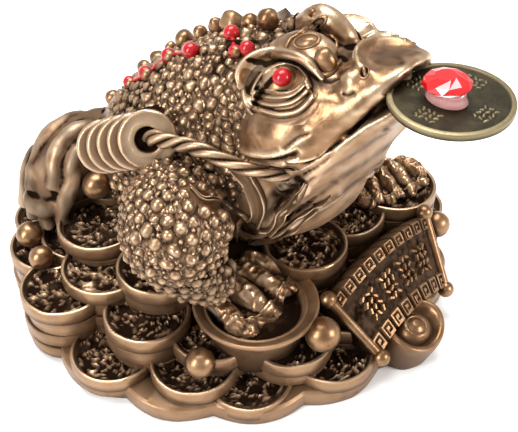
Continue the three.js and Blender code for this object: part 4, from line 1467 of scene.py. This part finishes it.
def plainCoin(x, y, top, r, thick, seed):
    # coin in a stack, of which only the wall shows
    wall = [(r - 0.45, -thick), (r - 0.05, -thick + 0.25), (r, -thick * 0.5)]
    wall += [(r - 0.05, -0.25), (r - 0.45, 0)]
    grid = turnedGrid(wall, coins["stackSides"]) + (x, y, top)
    grid[..., :2] += 0.10 * grain3(grid, 2.4, seed)[..., None]
    # the dark wash with painted shade at the top and foot of each wall, where it meets the next coin
    mask = np.array([0.95, 0.35, 0.1, 0.25, 0.95])[:, None] * np.ones(coins["stackSides"])
    return shellOf(grid), np.append(mask.ravel(), [1, 1]), np.zeros(grid.shape[0] * grid.shape[1] + 2)


def stackOf(angle, distance, top, k, floor):
    # the top coin and, down to a floor, plain ones each a little off its place
    a = math.radians(angle)
    distance -= coins["inset"]
    x, y = distance * math.cos(a), distance * math.sin(a)
    parts = [topCoin(x, y, top, coins["r"], k)]
    level, n = top - coins["h"], 1
    while level > floor:
        thick = min(coins["h"], level - floor + 0.6)
        across = x + 0.35 * math.cos(2.4 * (k + n)) - 0.5 * math.cos(a)
        along = y + 0.35 * math.sin(2.4 * (k + n)) - 0.5 * math.sin(a)
        parts.append(plainCoin(across, along, level - 0.02, coins["r"], thick, k + n))
        level -= coins["h"]
        n += 1
    return parts


def baseShell():
    # sheet whose edge is a ring of lobes, each the top of a cosine
    base = coins["base"]
    sides = base["lobes"] * 20
    turnTo = np.arange(sides) / sides * full
    reach = base["r"] + base["lobe"] * np.abs(np.cos(turnTo * base["lobes"] / 2))
    way = turnTo + math.radians(base["start"])
    h = base["h"]
    rows = [(0.0, -0.75), (0.35, -0.35), (h * 0.5, -0.25), (h - 0.5, -0.3), (h, -0.85), (h, -6)]
    z, inset = np.array(rows).T
    out = reach + inset[:, None]
    grid = np.stack([out * np.cos(way), out * np.sin(way), np.repeat(z[:, None], sides, 1)], -1)
    grid[1:5, :, :2] *= 1 - 0.003 * (1 + grain3(grid[1:5], 3.0, 4)[..., None])
    # the dark wash with painted shade at the foot and along the top edge
    mask = np.array([0.7, 0.25, 0.1, 0.1, 0.3, 0.9])[:, None] * np.ones(sides)
    return shellOf(grid), np.append(mask.ravel(), [0.8, 0.8]), np.zeros(grid.shape[0] * sides + 2)


def makeHeap():
    # three rings of stacks, the coin and the dish under the forefeet, and the hill below them
    tops, parts = [], [baseShell()]
    for ring, floor in ((coins["outer"], 1.5), (coins["middle"], 5.0), (coins["inner"], 10.0)):
        for k, (angle, distance, top) in enumerate(ring):
            first, *rest = stackOf(angle, distance, top, k + int(floor * 3), floor)
            tops.append(first)
            parts += rest
    x, y, r, top = coins["left"]
    tops.append(topCoin(x, y, top, r, 77))
    parts.append(plainCoin(x, y, top - coins["h"], r, coins["leftDepth"], 78))
    hill = turned(coins["core"], 40)
    # the hill under the stacks is dark all over: painted shade
    parts.append((hill, np.ones(len(hill[0])), np.zeros(len(hill[0]))))
    *profile, deep = np.array(dish["rows"]).T
    points, tris = turned(np.transpose(profile), dish["sides"])
    deep = np.append(np.repeat(deep, dish["sides"]), [0.9, 0.9])
    parts.append(((points + dish["at"], tris), deep, np.zeros(len(points))))
    return tops, parts


print("coins")
heapTops, heapStacks = makeHeap()
for heapName, heapParts in (
    ("coinTops", heapTops[:20]), ("innerCoinTops", heapTops[20:]), ("coinStacks", heapStacks)
):
    heapShells, heapHollow, heapRough = zip(*heapParts)
    heapHollow, heapRough = np.concatenate(heapHollow), np.concatenate(heapRough)
    heapDusty = 0.35 * step(0.4, 0.1, heapHollow) * (heapRough < 0.1)
    heapMasks = {"hollow": heapHollow, "wornAndHighlight": 0.35 * step(0.4, 0.65, heapRough), "dusty": heapDusty}
    castPiece(heapName, joined(heapShells), heapMasks, 42)


# Strings of coins on the flanks, each with a twisted rope to the throat
strings = {
    "at": (-22.4, -2.6, 45.6),
    "look": (-0.6, -0.6, 0.53),
    "slide": (-0.74, 2.3, -1.2),
    "r": 5.4, "h": 2.0, "hole": 2.3, "count": 5, "sides": 52,
    "bed": [(-13, -1, 43.4), (-22.6, 2.4, 43)],
    "bedR": 4.8,
    "rope": [
        (-21.6, -2.2, 45.4), (-22.4, -5.0, 46.9), (-21.8, -8.6, 47.6), (-21.3, -12.4, 48.5),
        (-20.6, -16.4, 48.6), (-18.8, -21.2, 47.6), (-16.8, -25.8, 47.2), (-14.6, -29.0, 46.8),
        (-12.6, -31.0, 46.6),
    ],
    "ropeR": (1.45, 1.6, 1.45, 1.45, 1.4, 1.35, 1.25, 1.05, 0.6),
    "strands": 3, "turns": 8.5, "ropeRows": 160, "ropeSides": 20,
}


def makeStrings():
    # coins one behind another on the flank, each a little smaller, and the rope
    shells, masks = [], []
    look = unit(np.array(strings["look"]))
    side = unit(np.cross(look, (0, 0, 1)))
    up = np.cross(side, look)
    c, n = circle(strings["sides"])
    for k in range(strings["count"]):
        r = strings["r"] * (1 - 0.015 * k)
        half = strings["h"] / 2
        profile = [(r - 1.0, -half), (r - 0.3, -half + 0.25), (r, -half + 0.6)]
        profile += [(r, half - 0.55), (r - 0.15, half - 0.2), (r - 0.5, half)]
        # how dark each row is: the dark wash with painted shade at the back edge and in the hole
        deep = [1.0, 0.95, 0.35, 0.1, 0.0, 0.15]
        hole = strings["hole"]
        profile += [(r - 0.8, half - 0.03), (r - 1.6, half - 0.1), (r - 2.2, half - 0.05)]
        deep += [0.2, 0.1, 0.1]
        profile += [(hole + 0.5, half + 0.05), (hole + 0.12, half - 0.1), (hole, half - 0.4)]
        profile += [(hole - 0.1, half - 1.6), (0.05, half - 1.6)]
        deep += [0.0, 0.2, 0.8, 1.0, 1.0]
        # painted shade from the coin in front darkens the face of each coin behind it
        if k > 0:
            deep[6:] = [0.3, 0.6, 0.95] + [1.0] * 5
        ringR, level = np.array(profile).T
        at = np.array(strings["at"]) + np.array(strings["slide"]) * k
        grid = at + ringR[:, None, None] * (c[:, None] * side + n[:, None] * up) + level[:, None, None] * look
        shells.append(shellOf(grid + 0.09 * grain3(grid, 1.3, 6)[..., None]))
        masks.append(np.append(np.repeat(deep, strings["sides"]), [1, 1]))
    # the bed under the coins is dark all over: painted shade
    bed = tube(strings["bed"], (strings["bedR"], strings["bedR"]), 20, 24)
    shells.append(bed)
    masks.append(np.ones(len(bed[0])))
    rope, ropeMask = makeRope()
    shells.append(rope)
    masks.append(ropeMask)
    hollow = np.concatenate(masks * 2)
    return joined(onBothSides(shells)), {"hollow": hollow, "wornAndHighlight": 0.5 * step(0.4, 0, hollow)}


def makeRope():
    # strands wound round a path: the radius follows the cosine of the turn less the twist
    rows, sides = strings["ropeRows"], strings["ropeSides"]
    line = smoothRows(strings["rope"], rows)
    _, across, rise = pathFrame(line)
    turnTo = np.arange(sides) / sides * full
    twist = np.linspace(0, strings["turns"] * full, rows)[:, None]
    wave = np.abs(np.cos((turnTo * strings["strands"] - twist) / 2))
    r = smoothRows(strings["ropeR"], rows)[:, None] * (0.56 + 0.46 * wave)
    way = np.cos(turnTo)[:, None] * across[:, None] + np.sin(turnTo)[:, None] * rise[:, None]
    # painted shade in the grooves between the strands
    grooves = np.append((1 - 0.85 * step(0.2, 0.75, wave)).ravel(), [1, 1])
    return shellOf(line[:, None] + r[..., None] * way), grooves


stringShell, stringMasks = makeStrings()
castPiece("coinStrings", stringShell, stringMasks, 40)

# Pearls that lie on the heap
pearls = [
    (-37, 16.4, 14.4, 2.5), (-32.6, -24.4, 11, 2.9), (-14.4, -38.4, 14.6, 3.35),
    (27, -34.8, 12.9, 2.8), (-22.6, 14.6, 25.6, 2.9), (-34.6, 23.4, 14.8, 2.7), (33.4, 21, 15.2, 2.8),
    (10, 35.6, 12.8, 2.8), (-4, 30.6, 30, 1.7),
]


def makePearls():
    # balls, darker towards their feet with painted shade
    shells, masks = [], []
    for x, y, z, r in pearls:
        points, tris = ball((x, y, z), r, 28, 18)
        shells.append((points + 0.05 * grain3(points, 1.6, 7)[:, None], tris))
        masks.append(step(z + 0.1 * r, z - 0.9 * r, points[:, 2]))
    return joined(shells), {"hollow": np.concatenate(masks)}


pearlShell, pearlMasks = makePearls()
castPiece("pearls", pearlShell, pearlMasks)

# Boat-shaped ingot on the front of the heap
ingot = {
    "at": (3.9, -44.7), "turn": 6.0, "lean": 14.0, "wide": 1.2, "top": 9.85,
    # how dark the coat is drawn from one row of the shell to the next: painted shade with the dark wash at
    # its foot and in its creases
    "dark": (
        (0, 16, 24, 32, 37, 41, 46, 54, 57, 60, 69), (0.7, 0.25, 0, 0.2, 0.9, 0.5, 0.1, 0.1, 0.6, 0.1, 0)
    ),
    "rows": 70, "sides": 56,
    "rings": [
        (4.2, 3.6, -2.0, 0), (5.0, 4.2, 3.0, 0.6), (5.5, 4.55, 6.4, 1.2), (5.62, 4.62, 7.7, 1.4),
        (5.5, 4.5, 8.25, 1.4), (5.0, 4.0, 8.45, 1.35), (4.4, 3.5, 8.2, 1.1), (3.9, 3.1, 7.4, 0.6),
        (3.6, 2.9, 7.1, 0.3), (3.3, 2.75, 7.3, 0.1), (2.9, 2.55, 8.2, 0), (2.3, 2.1, 8.9, 0),
        (1.8, 1.7, 9.1, 0), (1.55, 1.5, 9.0, 0), (1.3, 1.25, 9.2, 0), (0.7, 0.7, 9.6, 0),
        (0.1, 0.1, 9.7, 0),
    ],
}


def makeIngot():
    # ovals stacked up, the lip raised at both ends by the square of the cosine
    a, b, z, horn = smoothRows(ingot["rings"], ingot["rows"]).T[..., None]
    c, n = circle(ingot["sides"])
    grid = np.stack([a * ingot["wide"] * c, b * ingot["wide"] * n, z + horn * c**2], -1)
    grid[..., 2] = np.minimum(grid[..., 2], ingot["top"])
    points, tris = shellOf(grid)
    points = turn(turn(points, "x", ingot["lean"]), "z", ingot["turn"]) + (*ingot["at"], 0)
    points[:, 2] = np.maximum(points[:, 2], 0.02)
    level = np.interp(np.arange(ingot["rows"]), *ingot["dark"])
    return (points, tris), {"hollow": np.append(np.repeat(level, ingot["sides"]), [0.8, 0])}


ingotShell, ingotMasks = makeIngot()
castPiece("goldIngot", ingotShell, ingotMasks)

# Plaque on two rods: key squares along its top and bottom, rows of short strokes between
plaque = {
    "rods": (((-8.4, -34.6, 16.6), (-6.2, -46.4, 7.6)), ((22.4, -34.2, 18.6), (18.6, -44, 6))),
    "rod": 0.95, "knob": 1.7, "back": 5.0, "arch": 2.2, "bulge": 1.8,
    "keys": 10, "lowKeys": 8, "marks": 4, "raise": 1.0, "stroke": 0.3,
    "columns": 230, "rows": 92, "margin": 0.115, "strokes": (3, 4, 1.45, 1.4),
}


def plaquePoint(across, down, out):
    # between the rods, arched up and bulged out in the middle by a parabola
    (a, b), (c, d) = (np.array(rod) for rod in plaque["rods"])
    across = np.asarray(across)[..., None]
    down = np.asarray(down)[..., None]
    high, low = a + (c - a) * across, b + (d - b) * across
    fall = unit(low - high)
    face = unit(np.cross(fall, unit(c - a)))
    face = np.where(face[..., 2:] < 0, -face, face)
    bow = 4 * across * (1 - across)
    lift = plaque["bulge"] * bow + np.asarray(out)[..., None]
    return high + (low - high) * down - fall * plaque["arch"] * bow + face * lift


def strokeDistance(u, v, start, end):
    # distance from a point to a straight stroke
    a, b = np.array(start, float), np.array(end, float)
    way = b - a
    t = np.clip(((u - a[0]) * way[0] + (v - a[1]) * way[1]) / (way @ way), 0, 1)
    return np.hypot(u - a[0] - t * way[0], v - a[1] - t * way[1])


def keySquare(u, v, x, y, size):
    # a raised square with a hooked groove in it, from 0 to 1
    s = size / 2
    block = step(0.1, -0.1, np.maximum(np.abs(u - x), np.abs(v - y)) - s)
    corners = [(-0.5, 0.55), (-0.5, -0.5), (0.5, -0.5), (0.5, 0.3), (0, 0.3)]
    hook = [(x + s * across, y + s * along) for across, along in corners]
    groove = np.min([strokeDistance(u, v, p, q) for p, q in zip(hook, hook[1:])], axis=0)
    return block * (1 - 0.6 * step(0.26, 0.12, groove))


def strokeRows(columns, rows, wide, tall):
    # separate short strokes in rows, each at its own slant, so that they spell nothing
    strokes = []
    for row in range(rows):
        for column in range(columns):
            x = (column - (columns - 1) / 2) * wide + rng.uniform(-0.08, 0.08)
            y = (row - (rows - 1) / 2) * tall
            slant = rng.choice((0.5, 0.9, 2.2, 2.6)) + rng.uniform(-0.2, 0.2)
            reach = rng.uniform(0.2, 0.32) * min(wide, tall)
            dx, dy = reach * math.cos(slant), reach * math.sin(slant)
            strokes.append(((x - dx, y - dy), (x + dx, y + dy)))
    return strokes


def plaqueRelief(across, down):
    # height of the face: flat bars at the edges, key squares, and the marks
    (a, b), (c, _) = (np.array(rod) for rod in plaque["rods"])
    wide, tall = np.linalg.norm(c - a), np.linalg.norm(b - a)
    u, v = across * wide, down * tall
    gap = np.full(u.shape, 9.0)
    keys = np.zeros(u.shape)
    for count, level in ((plaque["keys"], 0.12), (plaque["lowKeys"], 0.87)):
        size = wide / count
        for k in range(count):
            keys = np.maximum(keys, keySquare(u, v, (k + 0.5) * size, level * tall, size * 0.78))
    for k in range(plaque["marks"]):
        x, y = (plaque["margin"] + (k + 0.5) * 0.77 / plaque["marks"]) * wide, 0.5 * tall
        for start, end in strokeRows(*plaque["strokes"]):
            gap = np.minimum(gap, strokeDistance(u - x, v - y, start, end))
    marks = 1 - step(plaque["stroke"] * 0.8, plaque["stroke"] * 1.5, gap)
    raised = np.maximum(marks, 0.85 * keys)
    return plaque["raise"] * raised + 0.10 * (1 - raised) * grain3(np.stack([u, v, u * 0], -1), 0.7, 14)


def makePlaque():
    # a bulged slab with its relief, and a rod at each end
    columns, rows = plaque["columns"], plaque["rows"]
    across, down = np.meshgrid(np.linspace(0, 1, columns), np.linspace(0.04, 0.96, rows), indexing="ij")
    relief = plaqueRelief(across, down)
    front = plaquePoint(across, down, relief - 0.25)
    back = plaquePoint(across, down, np.full(across.shape, -plaque["back"]))[:, ::12]
    # the ground between the raised relief is dark: the dark wash with painted shade; the rods are nearly
    # bright and the knobs bright
    shells, masks = [slabShell(front, back)], [slabMask(0.86 - 0.86 * relief / plaque["raise"], back)]
    for ends in plaque["rods"]:
        rod = tube(ends, (plaque["rod"], plaque["rod"]), 24, 20)
        shells.append(rod)
        masks.append(np.full(len(rod[0]), 0.05))
        for end in ends:
            knob = ball(end, plaque["knob"], 24, 16)
            shells.append(knob)
            masks.append(np.zeros(len(knob[0])))
    return joined(shells), {"hollow": np.concatenate(masks)}


print("plaque")
plaqueShell, plaqueMasks = makePlaque()
castPiece("rodPlaque", plaqueShell, plaqueMasks, 50)

# The skin of head and body, raised under its warts, with painted shade and the dark wash in its hollows
print("skins")


def skinMasks(points, tris, edges, wartShare, warty, dusty):
    # two sizes of hollow, the foot of each wart one more, darkened with painted shade and the dark wash; wear
    # with painted highlights on the ridges
    small = hollowsOf(points, tris, edges, 4)
    large = hollowsOf(points, tris, edges, 30)
    hollow = step(0.01, 0.09, small) * 0.8 + step(0.05, 0.5, large) * 0.8
    foot = step(0.75, 0.95, wartShare) * step(2.2, 1.3, wartShare) * warty * 0.95
    wornAndHighlight = step(0.01, 0.07, -small) * 0.6 + step(0.05, 0.4, -large) * 0.5
    return {"hollow": np.maximum(hollow, foot), "wornAndHighlight": wornAndHighlight * (1 - foot), "dusty": dusty}


def patina(points):
    # broad patches of darker coat
    return 0.32 * step(0.1, 0.6, grain3(points, 9.0, 33))


headPoints, headShare = raisedByWarts(headPoints, headNormals * headWarty[:, None])
craggy = step(11, 9, haunchGap) * 0.22 * grain3(bodyPoints * (1, 1, 0.5), 1.9, 35)
bodyPoints = bodyPoints + bodyNormals * craggy[:, None]
bodyPoints, bodyShare = raisedByWarts(bodyPoints, bodyNormals * bodyWarty[:, None])
_, _, rise = headCoordinates(headPoints)
underJaw = step(-13.2, -15.6, rise) * step(60, 50, headPoints[:, 2])
headMasks = skinMasks(headPoints, headTris, headEdges, headShare, headWarty, underJaw * 0.8)
headShadow = shadeOf(headPoints, headNormals)
headMasks["hollow"] = np.maximum(headMasks["hollow"], headShadow) + patina(headPoints) * headWarty
headMasks["dusty"] = headMasks["dusty"] * (1 - headShadow.clip(0, 1))
castPiece("toadHead", (headPoints, headTris), headMasks)
# how strongly the foot of each wart is darkened with painted shade and the dark wash, less low on the arm
wartFootShadeAndWash = bodyWarty * (1 - 0.3 * lowArm)
bodyMasks = skinMasks(bodyPoints, bodyTris, bodyEdges, bodyShare, wartFootShadeAndWash, 0.5 * lowArm)
bodyShade = shadeOf(bodyPoints, bodyNormals) * step(50, 46, bodyPoints[:, 2])
bodyHollow = np.maximum(bodyMasks["hollow"], bodyShade)
# patches of darker coat on the warty skin, and painted shade in the gap beside the forefoot
bodyHollow += patina(bodyPoints) * bodyWarty + 0.8 * besidePaw
onHaunch = step(11, 9, haunchGap)
haunchTone = 0.22 + 0.5 * step(-0.4, 0.5, grain3(bodyPoints * (1, 1, 0.4), 3.2, 34))
onThigh = np.minimum(bodyHollow, 0.85) + onHaunch * haunchTone
bodyMasks["hollow"] = np.where(onHaunch > 0, onThigh, bodyHollow)
bodyMasks["wornAndHighlight"] *= 1 - 0.6 * onHaunch
castPiece("toadBody", (bodyPoints, bodyTris), bodyMasks)
half = len(wartR) // 2
for wartName, part in (("wartsA", slice(None, half)), ("wartsB", slice(half, None))):
    wartShell, wartHigh = wartShells(wartSpots[part], wartOut[part], wartR[part])
    low = step(11.6, 10.6, nearest(wartSpots[part], smoothRows(body["arm"][:-1], 30))[0])
    low *= lowDown(wartSpots[part])
    low = np.repeat(low, len(wartHigh) // len(low))
    # painted shade with the dark wash round the foot of each wart, wear with painted highlights on its top
    wartHollow = 0.85 * step(0.66, 0.1, wartHigh) * (1 - 0.25 * low) + patina(wartShell[0])
    wartWornAndHighlight = 0.45 * step(0.5, 0.95, wartHigh)
    castPiece(wartName, wartShell, {"hollow": wartHollow, "wornAndHighlight": wartWornAndHighlight, "dusty": 0.3 * low})


def bandBetween(tree, edges):
    # both edges laid on the skin and smoothed, then the section carried from one to the other
    sides = []
    for pixels in edges:
        path, out = laidOn(tree, seenAt(tree, pixels), neckFolds["rows"], 0.1)
        for _ in range(10):
            path[1:-1] = (path[:-2] + path[1:-1] + path[2:]) / 3
            out[1:-1] = unit(out[:-2] + out[1:-1] + out[2:])
        sides.append((path, out))
    (first, firstOut), (last, lastOut) = sides
    share, more, lift, dark = np.array(neckFolds["section"], float).T[:, None, :, None]
    wide = np.linalg.norm(last - first, axis=1)[:, None, None]
    thin = np.clip(wide / 1.4, 0.3, 1)
    way = unit(last - first)[:, None]
    out = unit(firstOut + lastOut)[:, None]
    rise = np.where(lift > 0, lift * thin, lift)
    grid = first[:, None] * (1 - share) + last[:, None] * share + way * more * thin + out * rise
    return shellOf(grid), np.append(np.tile(dark.ravel(), len(first)), [0.5, 0.5])


def foldTones(bands):
    # painted shade by the section's last column, wear with painted highlights where it is not dark
    dark = np.concatenate([mask for _, mask in bands] * 2)
    return {"hollow": dark, "wornAndHighlight": 0.6 * step(0.15, 0.0, dark)}


def makeNeckFolds():
    # each band between its two edges, on both sides
    skins = treeOf(joined([(headPoints, headTris), (bodyPoints, bodyTris)]))
    bands = [bandBetween(skins, edges) for edges in neckFolds["bands"]]
    return joined(onBothSides([shell for shell, _ in bands])), foldTones(bands)


footShell, footMasks = footSheet()
bothFeet = joined([outward(placeFoot(feet[side], footShell[0]), footShell[1]) for side in ("right", "left")])
castPiece("forefeet", bothFeet, {name: np.tile(mask, 2) for name, mask in footMasks.items()})
foldShell, foldMasks = makeNeckFolds()
castPiece("neckFolds", foldShell, foldMasks)
redDots, bareDots = makeRedDots()
spineShell = joined([*makeSpine(), *bareDots])
castPiece("spineBeads", spineShell)
castPiece("redDots", joined(redDots), material=redPaint)


# Red pupils
def makePupils():
    # a ball that stands out of each eye
    at = seenAt(treeOf(eyeBall), [eyes["pupil"]])[0]
    out = unit(at - np.array(eyes["at"]))
    return joined(onBothSides([ball(at - out * 0.7, eyes["pupilR"], 28, 18)]))


castPiece("redPupils", makePupils(), material=redPaint)

# Loose coin and its stone
looseCoin = {
    "at": (0, -49.4, 64.6), "r": 10.0, "h": 1.3, "rim": 0.9, "raise": 0.25, "hole": 2.1,
    "markAt": 6.2, "marks": (0.0, -90.0, 90.0, 180.0), "strokes": (4, 3, 1.0, 1.05), "sides": 260, "rows": 64,
}
stone = {
    "off": (-0.8, 0.4), "half": (3.3, 4.3), "pad": 0.9, "h": 3.0, "pitch": -8.0, "roll": -9.0, "sides": 10,
}


def makeLooseCoin():
    # polar grid, its face raised at the rim and along short strokes
    r, half, hole = looseCoin["r"], looseCoin["h"] / 2, looseCoin["hole"]
    flat = half - looseCoin["raise"]
    field = np.linspace(r - looseCoin["rim"] - 0.15, hole + 0.25, looseCoin["rows"])
    low = [(hole + 0.1, -half), (hole + 0.3, -half), (r - 0.3, -half)]
    low += [(r - 0.08, -half + 0.1), (r, -half + 0.35)]
    high = [(r, half - 0.35), (r - 0.08, half - 0.1), (r - 0.3, half), (r - looseCoin["rim"] + 0.1, half)]
    face = [(v, flat) for v in field]
    inner = [(hole + 0.1, flat), (hole, flat - 0.15), (hole, -half + 0.15)]
    grid = turnedGrid(low + high + face + inner, looseCoin["sides"])
    x, y = grid[..., 0], grid[..., 1]
    gap = np.full(x.shape, 9.0)
    for angle in looseCoin["marks"]:
        a = math.radians(angle)
        u = x * math.cos(a) + y * math.sin(a)
        v = -x * math.sin(a) + y * math.cos(a)
        for start, end in strokeRows(*looseCoin["strokes"]):
            gap = np.minimum(gap, strokeDistance(u, v + looseCoin["markAt"], start, end))
    top = np.zeros(x.shape, bool)
    top[len(low) + len(high) : len(low) + len(high) + len(face)] = True
    mark = (1 - step(0.1, 0.26, gap)) * top
    grid[..., 2] += 0.2 * mark + 0.02 * grain3(grid, 0.8, 12) * top
    points, tris = ringShell(grid + looseCoin["at"])
    # wear with painted highlights on the rim and the marks, dark tarnish with painted shade in a ring round
    # each mark
    rim = ((np.hypot(x, y) > r - looseCoin["rim"] + 0.05) & (grid[..., 2] > half - 0.4)) * 0.75
    moat = step(0.2, 0.34, gap) * step(0.6, 0.4, gap) * top * 0.55
    return (points, tris), {"wornAndHighlight": np.maximum(rim, mark * 0.6).ravel(), "hollow": moat.ravel()}


coinShell, coinMasks = makeLooseCoin()
makePiece("looseCoin", coinShell, oldBrass, "mouth_coin", coinMasks, 35)


def stoneRing(share, z, shift):
    # ten corners on an oval, turned by a share of a step
    turnTo = (np.arange(stone["sides"]) + shift) / stone["sides"] * full
    a, b = stone["half"]
    return np.stack([a * share * np.cos(turnTo), b * share * np.sin(turnTo), np.full(stone["sides"], z)], -1)


def makeStone():
    # rings of ten corners, turned by half a step to make triangular facets
    h = stone["h"]
    rings = [(0.62, 0, 0), (0.94, h * 0.37, 0), (1, h / 2, 0.5), (0.84, h * 0.77, 0), (0.44, h, 0.5)]
    points, tris = shellOf(np.stack([stoneRing(*ring) for ring in rings]))
    points = turn(turn(points, "x", stone["pitch"]), "y", stone["roll"]) + (0, 0, stone["pad"] + 0.4)
    x, y, z = looseCoin["at"]
    low = z + looseCoin["h"] / 2 - looseCoin["raise"] + 0.3
    place = np.array([x + stone["off"][0], y + stone["off"][1], low])
    a, b = stone["half"]
    c, n = circle(40)
    rows = np.array([(0.80, -0.3), (0.84, 0.0), (0.76, 0.6), (0.70, 1.3), (0.72, 1.9)])
    pad = np.stack([rows[:, :1] * a * c, rows[:, :1] * b * n, np.repeat(rows[:, 1:], 40, 1)], -1)
    return (points + place, tris), shellOf(pad + place)


stoneShell, padShell = makeStone()
makePiece("redStone", stoneShell, redStone, "coin_gem", None, 5)
makePiece("stoneGlue", padShell, clearGlue, "coin_gem")

print("done")
